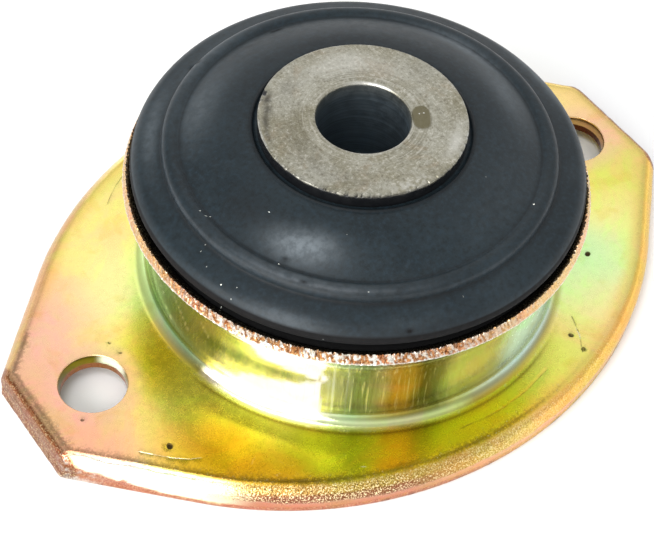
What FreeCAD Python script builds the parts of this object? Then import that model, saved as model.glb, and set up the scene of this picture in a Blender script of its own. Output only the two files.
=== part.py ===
import FreeCAD, Part
import math
import os

# Bonded rubber mount: a pressed steel flange with a drawn collar, a moulded
# rubber body bonded inside and over the collar, and a thick steel sleeve
# through the middle for the main bolt.
# Millimetres. +Z runs up the bore, +X through the two bolt holes, and the
# origin is on the bore axis at the surface that the flange rim stands on.

# ---- driving dimensions --------------------------------------------------
sheet_t = 2.4            # flange sheet
plate_top = 4.2          # height of the flat top of the flange
rim_drop = 1.8           # how far the turned rim stands below the flat underside

belly_r = 53.5           # radius of the two long sides
belly_y = 36.45          # half width over the rim
belly_x = 38.0           # where each long side runs out into a straight
end_neg = 50.6           # sheared end on the -X side
end_pos = 49.6           # sheared end on the +X side
corner_neg = 0.7         # plan corner radii
corner_pos = 2.6

hole_pitch = 82.0        # between the two bolt holes
hole_r = 4.5
hole_roll = 0.45         # rolled upper edge of each hole

crease_r = 29.9          # where the collar fillet meets the flat
fillet_r = 2.1           # fillet on the upper side of the draw
waist_r = 27.8           # narrowest outside radius of the collar
collar_mid = (28.15, 10.0)   # radius, height over the flat, where the flare starts
flare_c = (37.42, 9.25)      # centre of the flare arc
flare_r = 9.3
lip_t = 1.5              # sheet left at the lip
mid_t = 2.15             # and where the flare starts
wall_in_r = 25.4         # inside radius at the foot of the collar
bend_r = 4.5             # convex bend on the underside
cut_top = (30.43, 17.04) # upper edge of the sheared lip
joint_r = 33.0           # construction radius, collar to flat

sleeve_r = 13.5
sleeve_top = 26.9        # over the flat
sleeve_len = 30.0
bore_r = 6.1
sleeve_chamfer = 0.25
bore_chamfer = 0.35

rub_edge_c = (27.75, 18.66)  # rounding of the disc edge
rub_edge_r = 2.1
dome_top = (14.75, 25.28)
dome_foot = (23.45, 22.5)

V = FreeCAD.Vector
os.makedirs("parts", exist_ok=True)


def pz(r, z):
    """Point of a turned section: radius, height over the flat."""
    return V(r, 0, z + plate_top)


def polar(c, r, deg):
    a = math.radians(deg)
    return (c[0] + r * math.cos(a), c[1] + r * math.sin(a))


def seg(a, b):
    return Part.LineSegment(pz(*a), pz(*b)).toShape()


def arc(a, m, b):
    return Part.Arc(pz(*a), pz(*m), pz(*b)).toShape()


def turned(edges):
    w = Part.Wire(edges)
    f = Part.Face(w)
    return f.revolve(V(0, 0, 0), V(0, 0, 1), 360)


def single(shape):
    s = shape.Solids[0] if len(shape.Solids) == 1 else shape
    if len(shape.Solids) != 1:
        raise RuntimeError("expected one solid, got %d" % len(shape.Solids))
    if not s.isValid():
        raise RuntimeError("invalid solid")
    return s


# ---- flange outline ------------------------------------------------------
phi = math.asin(belly_x / belly_r)
belly_cy = belly_y - belly_r


def outline(side, end, z):
    """Closed outline, set in by `side` on the long sides and the slanted
    straights and by `end` on the two sheared ends, at height z over the flat."""
    r = belly_r - side
    zz = z + plate_top
    t = (math.cos(phi), -math.sin(phi))            # along the slant, +x +y side
    p = (r * math.sin(phi), belly_cy + r * math.cos(phi))

    def corner(x_end, cr):
        # circle of radius cr tangent to the slant and to the end line
        n = (math.sin(phi), math.cos(phi))         # outward normal of the slant
        cx = x_end - cr
        # centre sits cr inside the slant line
        d = n[0] * p[0] + n[1] * p[1] - cr
        cy = (d - n[0] * cx) / n[1]
        a = (cx + cr * n[0], cy + cr * n[1])       # touches the slant
        half = (math.pi / 2 - phi) / 2.0
        m = (cx + cr * math.cos(half), cy + cr * math.sin(half))
        b = (x_end, cy)                            # touches the end
        return a, m, b

    xp, xn = end_pos - end, end_neg - end
    ap, mp, bp = corner(xp, corner_pos)
    an, mn, bn = corner(xn, corner_neg)

    def v(q, sx=1, sy=1):
        return V(sx * q[0], sy * q[1], zz)

    top = (0.0, belly_cy + r)
    e = [
        Part.Arc(v(p, -1), V(0, top[1], zz), v(p)).toShape(),
        Part.LineSegment(v(p), v(ap)).toShape(),
        Part.Arc(v(ap), v(mp), v(bp)).toShape(),
        Part.LineSegment(v(bp), v(bp, 1, -1)).toShape(),
        Part.Arc(v(bp, 1, -1), v(mp, 1, -1), v(ap, 1, -1)).toShape(),
        Part.LineSegment(v(ap, 1, -1), v(p, 1, -1)).toShape(),
        Part.Arc(v(p, 1, -1), V(0, -top[1], zz), v(p, -1, -1)).toShape(),
        Part.LineSegment(v(p, -1, -1), v(an, -1, -1)).toShape(),
        Part.Arc(v(an, -1, -1), v(mn, -1, -1), v(bn, -1, -1)).toShape(),
        Part.LineSegment(v(bn, -1, -1), v(bn, -1)).toShape(),
        Part.Arc(v(bn, -1), v(mn, -1), v(an, -1)).toShape(),
        Part.LineSegment(v(an, -1), v(p, -1)).toShape(),
    ]
    return Part.Wire(e)


bottom = -(sheet_t + rim_drop)
rim_layers = [
    # side inset, end inset, height over the flat
    (0.12, 0.00, bottom),
    (0.00, 0.33, -2.20),
    (0.08, 0.44, -1.60),
    (0.52, 0.60, -0.90),
    (1.10, 0.80, -0.32),
    (1.75, 1.60, 0.00),
]
plate = Part.makeLoft([outline(*l) for l in rim_layers], True, True)
pocket = Part.makeLoft([outline(2.10, 2.10, bottom - 0.1),
                        outline(2.20, 2.20, bottom),
                        outline(3.60, 3.50, -sheet_t)], True, True)
plate = plate.cut(pocket)
plate = plate.cut(Part.makeCylinder(joint_r, 20, V(0, 0, -5)))

# ---- collar, turned section ---------------------------------------------
b_ = (crease_r, 0.0)
c_ = (waist_r, fillet_r)
fil_m = polar((crease_r, fillet_r), fillet_r, 225)
d_ = polar(flare_c, flare_r, 175.4)
e_ = polar(flare_c, flare_r, 135)
g_ = polar(flare_c, flare_r + lip_t, 135)
h_ = polar(flare_c, flare_r + mid_t, 175.4)
bend_c = (wall_in_r + bend_r, -sheet_t + bend_r)
i_ = (wall_in_r, bend_c[1])
j_ = (bend_c[0], -sheet_t)
wall_m = (27.887, 6.05)
flare_m = polar(flare_c, flare_r, 155.2)
inner_flare_m = polar(flare_c, flare_r + 0.5 * (lip_t + mid_t), 155.2)
inner_wall_m = (25.60, 6.0)


def inner_wall():
    """The bonded surface, from the lip down to the foot of the collar."""
    return [arc(g_, inner_flare_m, h_), arc(h_, inner_wall_m, i_)]


collar = turned([
    seg((joint_r, 0.0), b_),
    arc(b_, fil_m, c_),
    arc(c_, wall_m, d_),
    arc(d_, flare_m, e_),
    seg(e_, cut_top),
    seg(cut_top, g_),
] + inner_wall() + [
    arc(i_, polar(bend_c, bend_r, 225), j_),
    seg(j_, (joint_r, -sheet_t)),
    seg((joint_r, -sheet_t), (joint_r, 0.0)),
])
flange = plate.fuse(collar).removeSplitter()

for s in (-1, 1):
    x = s * hole_pitch / 2.0
    flange = flange.cut(Part.makeCylinder(hole_r, 12, V(x, 0, -4)))
    flange = flange.cut(Part.makeCone(hole_r, hole_r + 2 * hole_roll, 2 * hole_roll,
                                      V(x, 0, plate_top - hole_roll)))
flange = single(flange)

# ---- rubber body ---------------------------------------------------------
ec, er = rub_edge_c, rub_edge_r
side_top = (ec[0] + er, ec[1])
band_out = polar(ec, er, 70)
band_in = (26.15, 21.28)
foot = (25.80, 21.38)
flank = (25.58, 22.34)
crown = (24.60, 22.86)
inner = (23.60, 22.62)
under_in = (15.2, -1.6)

rubber = turned([
    seg(g_, (29.15, 17.15)),
    seg((29.15, 17.15), (29.20, 17.80)),
    seg((29.20, 17.80), (29.72, 18.12)),
    seg((29.72, 18.12), side_top),
    arc(side_top, polar(ec, er, 35), band_out),
    seg(band_out, band_in),
    seg(band_in, foot),
    seg(foot, flank),
    arc(flank, (25.20, 22.68), crown),
    arc(crown, (24.05, 22.84), inner),
    seg(inner, dome_foot),
    arc(dome_foot, (19.35, 24.28), dome_top),
    seg(dome_top, (14.60, 25.16)),
    seg((14.60, 25.16), (14.42, 25.34)),
    seg((14.42, 25.34), (14.15, 25.34)),
    seg((14.15, 25.34), (13.95, 24.95)),
    seg((13.95, 24.95), (sleeve_r, 24.95)),
    seg((sleeve_r, 24.95), (sleeve_r, under_in[1])),
    seg((sleeve_r, under_in[1]), under_in),
    arc(under_in, (20.0, 1.9), i_),
] + list(reversed(inner_wall())))
rubber = single(rubber)

# ---- inner sleeve --------------------------------------------------------
z0 = sleeve_top - sleeve_len
cs, cb = sleeve_chamfer, bore_chamfer
sleeve = turned([
    seg((bore_r, z0 + cb), (bore_r, sleeve_top - cb)),
    seg((bore_r, sleeve_top - cb), (bore_r + cb, sleeve_top)),
    seg((bore_r + cb, sleeve_top), (sleeve_r - cs, sleeve_top)),
    seg((sleeve_r - cs, sleeve_top), (sleeve_r, sleeve_top - cs)),
    seg((sleeve_r, sleeve_top - cs), (sleeve_r, z0 + cs)),
    seg((sleeve_r, z0 + cs), (sleeve_r - cs, z0)),
    seg((sleeve_r - cs, z0), (bore_r + cb, z0)),
    seg((bore_r + cb, z0), (bore_r, z0 + cb)),
])
sleeve = single(sleeve)

for name, shape in (("flange", flange), ("rubber_body", rubber), ("inner_sleeve", sleeve)):
    shape.exportStep("parts/%s.step" % name)
    bb = shape.BoundBox
    print("%-13s volume %.1f mm3  x %.2f..%.2f  y %.2f..%.2f  z %.2f..%.2f" % (
        name, shape.Volume, bb.XMin, bb.XMax, bb.YMin, bb.YMax, bb.ZMin, bb.ZMax))
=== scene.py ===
import bpy
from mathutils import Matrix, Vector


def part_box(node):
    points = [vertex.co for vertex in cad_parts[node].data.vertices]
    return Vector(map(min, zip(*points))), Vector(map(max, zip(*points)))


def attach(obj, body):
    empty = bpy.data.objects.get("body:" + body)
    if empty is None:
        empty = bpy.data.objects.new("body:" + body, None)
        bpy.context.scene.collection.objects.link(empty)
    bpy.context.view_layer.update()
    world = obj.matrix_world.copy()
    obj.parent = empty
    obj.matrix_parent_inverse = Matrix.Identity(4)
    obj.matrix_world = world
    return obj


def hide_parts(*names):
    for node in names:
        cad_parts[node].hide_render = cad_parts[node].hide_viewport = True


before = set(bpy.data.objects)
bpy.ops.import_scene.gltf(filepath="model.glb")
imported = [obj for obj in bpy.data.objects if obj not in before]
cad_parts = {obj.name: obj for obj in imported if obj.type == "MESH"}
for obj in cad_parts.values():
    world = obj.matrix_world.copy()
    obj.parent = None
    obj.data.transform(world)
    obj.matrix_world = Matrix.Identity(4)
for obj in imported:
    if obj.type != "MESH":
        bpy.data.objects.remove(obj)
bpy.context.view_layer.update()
import bpy
import math
import numpy as np
from mathutils import Matrix, Vector, geometry

S = 0.001                                    # everything below is worked out in millimetres
b_flange = [v / S for v in (*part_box("flange")[0], *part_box("flange")[1])]
b_rubber = [v / S for v in (*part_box("rubber_body")[0], *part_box("rubber_body")[1])]
b_sleeve = [v / S for v in (*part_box("inner_sleeve")[0], *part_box("inner_sleeve")[1])]
TAU = 2 * math.pi

# ---------------------------------------------------------------- numbers of the part
ZT = 4.2                                     # top of the flange plate
SHEET = 2.4
BELLY_Y = b_flange[4]                        # half width over the rim
BELLY_R, BELLY_X = 53.5, 38.0
END_NEG, END_POS = -b_flange[0], b_flange[3]
BELLY_CY = BELLY_Y - BELLY_R
PHI = math.asin(BELLY_X / BELLY_R)
NX, NY = math.sin(PHI), math.cos(PHI)
SLANT_D = NX * BELLY_R * NX + NY * (BELLY_CY + BELLY_R * NY)
HOLE_X, HOLE_R = 41.0, 4.5
FLARE_C, FLARE_R = (37.42, 9.25), 9.3
SLEEVE_TOP = b_sleeve[5]                     # 31.1
SLEEVE_BOT = b_sleeve[2]
SLEEVE_R = b_sleeve[3]
BORE_R = 6.1

rng = np.random.default_rng(7)


# ---------------------------------------------------------------- small numeric helpers
def smooth(a, b, x):
    t = np.clip((np.asarray(x, float) - a) / (b - a), 0, 1)
    return t * t * (3 - 2 * t)


def _hash(i, j, k, seed):
    h = (i * 374761393 + j * 668265263 + k * 2147483647 + seed * 1274126177) & 0xFFFFFFFF
    h = (h ^ (h >> 13)) * 1274126177 & 0xFFFFFFFF
    h = (h ^ (h >> 16)) * 2246822519 & 0xFFFFFFFF
    return ((h ^ (h >> 15)) & 0xFFFFFF) / float(0xFFFFFF)


def vnoise(x, y, z=0.0, seed=0):
    """Smooth value noise from -1 to 1."""
    x, y, z = np.broadcast_arrays(np.asarray(x, float), np.asarray(y, float), np.asarray(z, float))
    xi, yi, zi = np.floor(x).astype(np.int64), np.floor(y).astype(np.int64), np.floor(z).astype(np.int64)
    fx, fy, fz = x - xi, y - yi, z - zi
    fx, fy, fz = (f * f * (3 - 2 * f) for f in (fx, fy, fz))
    out = 0
    for a in (0, 1):
        for b in (0, 1):
            for c in (0, 1):
                w = (fx if a else 1 - fx) * (fy if b else 1 - fy) * (fz if c else 1 - fz)
                out = out + w * _hash(xi + a, yi + b, zi + c, seed)
    return out * 2 - 1


def fbm(x, y, z=0.0, seed=0, octaves=3):
    out, amp, tot = 0, 1.0, 0.0
    for o in range(octaves):
        out = out + amp * vnoise(np.asarray(x) * 2 ** o + 13.1 * o, np.asarray(y) * 2 ** o, np.asarray(z) * 2 ** o, seed + o)
        tot += amp
        amp *= 0.5
    return out / tot


def lin(*c):
    """An sRGB colour as linear numbers."""
    return tuple(x / 12.92 if x <= 0.04045 else ((x + 0.055) / 1.055) ** 2.4 for x in c)


def polar(c, r, deg):
    a = math.radians(deg)
    return (c[0] + r * math.cos(a), c[1] + r * math.sin(a))


def arc3(a, m, b, n):
    """n steps along the arc through three points, without the first point."""
    ax, ay, bx, by, cx, cy = *a, *m, *b
    d = 2 * (ax * (by - cy) + bx * (cy - ay) + cx * (ay - by))
    ux = ((ax * ax + ay * ay) * (by - cy) + (bx * bx + by * by) * (cy - ay) + (cx * cx + cy * cy) * (ay - by)) / d
    uy = ((ax * ax + ay * ay) * (cx - bx) + (bx * bx + by * by) * (ax - cx) + (cx * cx + cy * cy) * (bx - ax)) / d
    r = math.hypot(ax - ux, ay - uy)
    t0, tm, t1 = (math.atan2(p[1] - uy, p[0] - ux) for p in (a, m, b))
    ccw = ((tm - t0) % TAU) < ((t1 - t0) % TAU)
    span = (t1 - t0) % TAU if ccw else -((t0 - t1) % TAU)
    return [(ux + r * math.cos(t0 + span * k / n), uy + r * math.sin(t0 + span * k / n)) for k in range(1, n + 1)]


def line(a, b, n):
    return [(a[0] + (b[0] - a[0]) * k / n, a[1] + (b[1] - a[1]) * k / n) for k in range(1, n + 1)]


def soften(p, passes=1, keep=()):
    """Rounds the corners of a section a little."""
    p = np.array(p, float)
    for _ in range(passes):
        q = p.copy()
        q[1:-1] = 0.25 * p[:-2] + 0.5 * p[1:-1] + 0.25 * p[2:]
        for k in keep:
            q[k] = p[k]
        p = q
    return p


class Mesh:
    """Collects points, faces and per-point values, then makes one Blender mesh."""

    def __init__(self):
        self.v, self.q, self.t, self.n = [], [], [], 0

    def add(self, xyz):
        xyz = np.asarray(xyz, float).reshape(-1, 3)
        ids = np.arange(self.n, self.n + len(xyz))
        self.v.append(xyz)
        self.n += len(xyz)
        return ids

    def bridge(self, a, b):
        a2, b2 = np.roll(a, -1), np.roll(b, -1)
        self.q.append(np.stack([a, a2, b2, b], 1))

    def fan(self, a, b, up):
        """Joins loop a to loop b, which has k times as many points. up: a comes first along the section."""
        k, m = len(b) // len(a), len(a)
        i = np.arange(m)
        b = np.asarray(b)
        tri = []
        for j in range(k):
            near = a[i] if j < k / 2 else a[(i + 1) % m]
            tri.append(np.stack([near, b[(k * i + j + 1) % len(b)], b[(k * i + j) % len(b)]], 1))
        tri.append(np.stack([a[i], a[(i + 1) % m], b[(k * i + (k + 1) // 2) % len(b)]], 1))
        t = np.concatenate(tri)
        self.t.append(t if up else t[:, ::-1])

    def points(self):
        return np.concatenate(self.v)

    def object(self, name, mat, attrs, sharp=35.0, pts=None):
        v = (self.points() if pts is None else pts) * S
        q = np.concatenate(self.q) if self.q else np.zeros((0, 4), int)
        t = np.concatenate(self.t) if self.t else np.zeros((0, 3), int)
        used = np.zeros(len(v), bool)
        used[q.ravel()] = True
        used[t.ravel()] = True
        new = np.cumsum(used) - 1
        v, q, t = v[used], new[q], new[t]
        attrs = {k: np.asarray(a)[used] for k, a in attrs.items()}
        me = bpy.data.meshes.new(name)
        me.vertices.add(len(v))
        me.vertices.foreach_set("co", v.astype(np.float32).ravel())
        loops = np.concatenate([q.ravel(), t.ravel()])
        starts = np.concatenate([np.arange(len(q)) * 4, len(q) * 4 + np.arange(len(t)) * 3])
        me.loops.add(len(loops))
        me.loops.foreach_set("vertex_index", loops.astype(np.int32))
        me.polygons.add(len(starts))
        me.polygons.foreach_set("loop_start", starts.astype(np.int32))
        me.update(calc_edges=True)
        bad = me.validate(verbose=False)
        for key, val in attrs.items():
            val = np.asarray(val, np.float32)
            if val.ndim == 2:
                a = me.attributes.new(key, "FLOAT_COLOR", "POINT")
                a.data.foreach_set("color", np.concatenate([val, np.ones((len(val), 1), np.float32)], 1).ravel())
            else:
                a = me.attributes.new(key, "FLOAT", "POINT")
                a.data.foreach_set("value", val)
        me.shade_smooth()
        me.set_sharp_from_angle(angle=math.radians(sharp))
        me.materials.append(mat)
        o = bpy.data.objects.new(name, me)
        bpy.context.scene.collection.objects.link(o)
        print(name, "points", len(v), "triangles", 2 * len(q) + len(t), "mended" if bad else "")
        return o


def ring(r, z, n, phase=0.0):
    a = phase + np.arange(n) * TAU / n
    return np.stack([r * np.cos(a), r * np.sin(a), np.broadcast_to(z, a.shape)], 1)


# ---------------------------------------------------------------- node helpers
class Mat:
    def __init__(self, name):
        self.m = bpy.data.materials.new(name)
        self.m.use_nodes = True
        self.nt = self.m.node_tree
        self.nt.nodes.clear()
        self.out = self.nt.nodes.new("ShaderNodeOutputMaterial")
        self.bsdf = self.nt.nodes.new("ShaderNodeBsdfPrincipled")
        self.nt.links.new(self.bsdf.outputs[0], self.out.inputs[0])
        self.co = self.nt.nodes.new("ShaderNodeTexCoord").outputs["Object"]

    def put(self, sock, v):
        if isinstance(v, bpy.types.NodeSocket):
            self.nt.links.new(v, sock)
        elif isinstance(v, (tuple, list)) and len(v) == 3 and sock.type == "RGBA":
            sock.default_value = (*v, 1)
        else:
            sock.default_value = v

    def node(self, kind, ins=(), **props):
        n = self.nt.nodes.new(kind)
        for k, v in props.items():
            setattr(n, k, v)
        for k, v in dict(ins).items():
            self.put(n.inputs[k], v)
        return n

    def math(self, op, a, b=0.0, clamp=False):
        n = self.node("ShaderNodeMath", operation=op, use_clamp=clamp)
        self.put(n.inputs[0], a)
        self.put(n.inputs[1], b)
        return n.outputs[0]

    def mix(self, fac, a, b, blend="MIX"):
        n = self.node("ShaderNodeMix", data_type="RGBA", blend_type=blend)
        self.put(n.inputs["Factor"], fac)
        self.put(n.inputs[6], a)
        self.put(n.inputs[7], b)
        return n.outputs[2]

    def attr(self, name, colour=False):
        n = self.node("ShaderNodeAttribute", attribute_name=name)
        return n.outputs["Color" if colour else "Fac"]

    def noise(self, scale, detail=3.0, rough=0.55, vec=None, dist=0.0, colour=False):
        n = self.node("ShaderNodeTexNoise")
        self.put(n.inputs["Vector"], vec if vec is not None else self.co)
        n.inputs["Scale"].default_value = scale
        n.inputs["Detail"].default_value = detail
        n.inputs["Roughness"].default_value = rough
        n.inputs["Distortion"].default_value = dist
        return n.outputs["Color" if colour else "Fac"]

    def scaled(self, s, vec=None):
        n = self.node("ShaderNodeVectorMath", operation="MULTIPLY")
        self.put(n.inputs[0], vec if vec is not None else self.co)
        n.inputs[1].default_value = s
        return n.outputs[0]

    def band(self, v, lo, hi, a=0.0, b=1.0):
        """Maps v from lo..hi to a..b, smoothly, clamped."""
        n = self.node("ShaderNodeMapRange", interpolation_type="SMOOTHSTEP")
        self.put(n.inputs["Value"], v)
        for k, x in (("From Min", lo), ("From Max", hi), ("To Min", a), ("To Max", b)):
            n.inputs[k].default_value = x
        return n.outputs[0]

    def bump(self, height, dist, strength=1.0, normal=None):
        n = self.node("ShaderNodeBump")
        self.put(n.inputs["Height"], height)
        n.inputs["Distance"].default_value = dist
        n.inputs["Strength"].default_value = strength
        if normal is not None:
            self.put(n.inputs["Normal"], normal)
        return n.outputs[0]


# ---------------------------------------------------------------- the plated steel
def plated_material():
    m = Mat("plated_steel")
    tint = m.attr("tint", True)
    blotch = m.noise(95, 5, 0.62, dist=1.2)
    fine = m.noise(1300, 3, 0.6)
    grain = m.noise(5200, 2, 0.6)
    # the thin film drifts between a greener and a pinker colour
    green = m.mix(1.0, tint, lin(0.96, 1.0, 0.88), "MULTIPLY")
    pink = m.mix(1.0, tint, lin(1.0, 0.955, 0.94), "MULTIPLY")
    col = m.mix(m.band(blotch, 0.40, 0.62), green, pink)
    soft = m.noise(260, 3, 0.5, dist=0.4)
    col = m.mix(m.band(soft, 0.45, 0.30, 0.0, 0.35), col, m.mix(1.0, col, lin(0.95, 0.90, 0.70), "MULTIPLY"))
    dirt = m.band(fine, 0.64, 0.82, 0.0, 0.05)
    col = m.mix(dirt, col, lin(0.50, 0.38, 0.16))
    film = m.band(m.noise(420, 5, 0.7, dist=1.2), 0.62, 0.78, 0.0, 0.06)
    col = m.mix(film, col, lin(0.97, 0.96, 0.82))
    # grit where the steel was bent: dark grains, and light grains that are painted glints
    grit_and_glints = m.attr("grit_and_glints")
    gl = m.band(grain, 0.53, 0.62)
    gd = m.band(grain, 0.47, 0.38)
    col = m.mix(m.math("MULTIPLY", grit_and_glints, gl), col, lin(1.0, 0.93, 0.74))
    col = m.mix(m.math("MULTIPLY", grit_and_glints, m.math("MULTIPLY", gd, 0.80)), col, lin(0.36, 0.20, 0.07))
    # spinning and drawing marks run up the collar
    up = m.scaled((1.0, 1.0, 0.03))
    streak = m.noise(2600, 2, 0.7, vec=up)
    wall = m.attr("drawn")
    sm = m.math("MULTIPLY", wall, m.band(streak, 0.56, 0.66))
    col = m.mix(m.math("MULTIPLY", sm, 0.75), col, lin(1.0, 0.99, 0.86))
    sd = m.math("MULTIPLY", wall, m.band(streak, 0.46, 0.38))
    col = m.mix(m.math("MULTIPLY", sd, 0.35), col, lin(0.45, 0.42, 0.12))
    # painted reflection along the bend into the rim: a dark mottled line with light painted glints
    bend_reflection = m.attr("bend_reflection")
    speckle = m.noise(2300, 3, 0.65)
    bn = m.band(m.math("ADD", m.math("MULTIPLY", speckle, 0.75), m.math("MULTIPLY", bend_reflection, 0.34)), 0.44, 0.60)
    col = m.mix(m.math("MULTIPLY", bn, m.math("MULTIPLY", bend_reflection, 0.85, True)), col, m.mix(0.80, col, lin(0.19, 0.145, 0.04)))
    col = m.mix(m.math("MULTIPLY", bend_reflection, m.band(speckle, 0.64, 0.72, 0.0, 0.8)), col, lin(1.0, 0.95, 0.78))
    # bare places and painted glints, pits, stains, and painted shade along the rim's foot
    bare_and_glints = m.attr("bare_and_glints")
    col = m.mix(m.math("MULTIPLY", bare_and_glints, m.band(grain, 0.30, 0.55, 0.45, 1.0)), col, lin(0.86, 0.87, 0.84))
    dark = m.attr("dark")
    col = m.mix(dark, col, lin(0.24, 0.19, 0.08))
    m.put(m.bsdf.inputs["Base Color"], col)
    m.bsdf.inputs["Specular IOR Level"].default_value = 0.15
    met = m.math("SUBTRACT", 0.86, m.math("MULTIPLY", dark, 0.5))
    # painted highlight: paler and less metallic where lamps reflect
    met = m.math("SUBTRACT", met, m.math("MULTIPLY", m.attr("painted_highlight"), 0.60))
    m.put(m.bsdf.inputs["Metallic"], met)
    rough = m.band(fine, 0.3, 0.75, 0.20, 0.31)
    rough = m.math("ADD", rough, m.math("MULTIPLY", dark, 0.3))
    rough = m.math("SUBTRACT", rough, m.math("MULTIPLY", m.attr("gloss"), 0.14), True)
    m.put(m.bsdf.inputs["Roughness"], rough)
    h = m.math("ADD", m.math("MULTIPLY", m.noise(700, 3, 0.6), 0.7), m.math("MULTIPLY", fine, 0.35))
    n1 = m.bump(h, 0.00004, 0.36)
    n2 = m.bump(m.math("MULTIPLY", grain, m.math("ADD", m.math("MULTIPLY", grit_and_glints, 1.0), 0.02)), 0.00007, 0.9, n1)
    n3 = m.bump(m.math("MULTIPLY", streak, wall), 0.00005, 0.6, n2)
    m.put(m.bsdf.inputs["Normal"], n3)
    return m.m


# ---------------------------------------------------------------- flange
PINK, ROSE = lin(0.94, 0.72, 0.60), lin(0.94, 0.72, 0.70)
PEACH, APRICOT = lin(1.0, 0.81, 0.60), lin(1.0, 0.87, 0.60)
CREAM, YELLOW = lin(0.93, 0.88, 0.60), lin(1.0, 0.91, 0.58)
PALE, LIME = lin(0.95, 0.98, 0.66), lin(0.88, 0.86, 0.42)
GOLD, AMBER = lin(0.99, 0.82, 0.18), lin(0.92, 0.77, 0.13)
OLIVE, MOSS = lin(0.81, 0.81, 0.15), lin(0.69, 0.66, 0.10)
BRASS, BRONZE = lin(0.79, 0.72, 0.09), lin(0.86, 0.69, 0.12)
MINT, SAND = lin(0.76, 0.96, 0.72), lin(0.86, 0.80, 0.50)
WHITE = lin(1.0, 1.0, 1.0)
UMBER, SEDGE = lin(0.58, 0.48, 0.05), lin(0.41, 0.42, 0.05)
STRAW, YOLK, TOFFEE = lin(0.94, 0.92, 0.38), lin(1.0, 0.88, 0.18), lin(0.92, 0.68, 0.10)

# colour drifts over the plate, partly the film's own colour and partly painted reflection and shade: x, y, reach,
# colour, strength
FIELD = [
    (-48, 4, 3.6, PINK, 1), (-47, -4, 3.6, PINK, 1), (-44, 8, 3.4, ROSE, 0.9), (-45, -8, 3.4, PINK, 1), (-43, 13, 3.4, ROSE, 1),
    (-38, 19, 3.4, PEACH, 1), (-33, 24, 3.4, CREAM, 1), (-28, 28, 3.4, CREAM, 1), (-22, 31, 4.0, CREAM, 1), (-39, 12, 3.2, ROSE, 1),
    (-34, 18, 2.8, APRICOT, 1), (-29, 22, 2.8, APRICOT, 1), (-26, 25, 2.8, YELLOW, 1), (-39, 7, 2.8, APRICOT, 1),
    (-34, 9, 2.6, PALE, 1.1), (-32, 13, 2.6, PALE, 1.1), (-30, 17, 2.6, PALE, 1.1), (-36, 4, 2.4, YELLOW, 1), (-33, 3, 2.0, YOLK, 0.9),
    (-32.5, -1, 2.4, YOLK, 1.2), (-32.8, -1, 1.6, AMBER, 0.6), (-34.5, -4, 2.4, YOLK, 1.1), (-38, -8, 2.6, YELLOW, 0.9), (-41, -11, 3.0, PEACH, 1), (-36, -13, 2.6, GOLD, 1),
    (-33, -10, 2.6, STRAW, 1), (-30, -7, 2.2, STRAW, 1), (-31, -14, 2.4, TOFFEE, 1), (-27.5, -13, 1.8, STRAW, 1.2), (-34.5, -16, 2.6, TOFFEE, 1.3),
    # the dark UMBER and SEDGE spots at the front left are painted shade, darkening where the lit collar reflects in
    # the plate
    (-29.5, -18.5, 2.7, UMBER, 2.4), (-33, -19.5, 2.0, TOFFEE, 1), (-24.5, -18, 1.8, STRAW, 1.1), (-28.5, -23, 2.6, UMBER, 1.1), (-29, -26.5, 2.2, BRONZE, 0.8), (-24, -24, 3.0, SEDGE, 1.8), (-20.5, -22.5, 1.8, OLIVE, 1), (-17, -26, 2.6, MOSS, 0.9),
    (-22, -28.5, 2.4, SEDGE, 0.4), (-19.5, -28, 2.6, OLIVE, 1), (-15, -32.5, 2.2, GOLD, 0.9), (-14, -29, 3.0, MOSS, 1), (-14, -33, 3.0, AMBER, 0.9), (-7, -30, 3.2, MOSS, 1), (-5, -33, 3.0, MOSS, 1),
    (0, -31, 3.2, BRASS, 1), (2, -35, 2.6, BRONZE, 1.3), (6, -31, 3.0, BRASS, 0.7), (10, -33, 3.0, LIME, 0.8), (14, -28, 2.8, LIME, 1),
    (17, -31, 2.8, SAND, 1), (20, -26, 2.6, CREAM, 0.9), (22, -22, 2.6, MINT, 1), (25, -25, 2.8, CREAM, 1), (29, -20.5, 2.4, MINT, 1.2),
    (30, -17, 2.5, MINT, 1.1), (34, -20, 2.8, CREAM, 1), (37, -14, 3.0, PALE, 1), (40, -17, 3.0, SAND, 1), (37, -8, 3.0, LIME, 1),
    (42, -10, 3.4, LIME, 1), (46, -8, 3.4, SAND, 1), (46, 0, 3.4, ROSE, 0.9), (47, 4, 3.4, PEACH, 1),
    (38, 6, 4, PALE, 0.8), (36, 18, 6, YELLOW, 1.0), (27, 24, 5, LIME, 1.0), (18, 30, 5, AMBER, 0.8),
    (6, 33, 6, YELLOW, 0.9), (-8, 33, 6, PEACH, 0.8), (-16, 31, 5, LIME, 0.8), (44, 12, 5, PINK, 0.7),
]
# tones of the collar's painted reflections
ALOE, SAGE, DEEP, FERN = lin(0.84, 0.90, 0.66), lin(0.66, 0.76, 0.60), lin(0.43, 0.52, 0.40), lin(0.53, 0.58, 0.43)
HAZE, WILLOW, REED, LOAM = lin(0.62, 0.69, 0.56), lin(0.62, 0.62, 0.46), lin(0.59, 0.57, 0.34), lin(0.50, 0.46, 0.20)
PEAT, CARAMEL, HUSK, FOAM = lin(0.40, 0.40, 0.19), lin(0.87, 0.70, 0.34), lin(0.93, 1.0, 0.76), lin(0.92, 0.96, 0.90)
ICE, SKY, STONE = lin(0.83, 1.0, 0.98), lin(0.66, 0.78, 0.76), lin(0.78, 0.78, 0.68)
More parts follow.
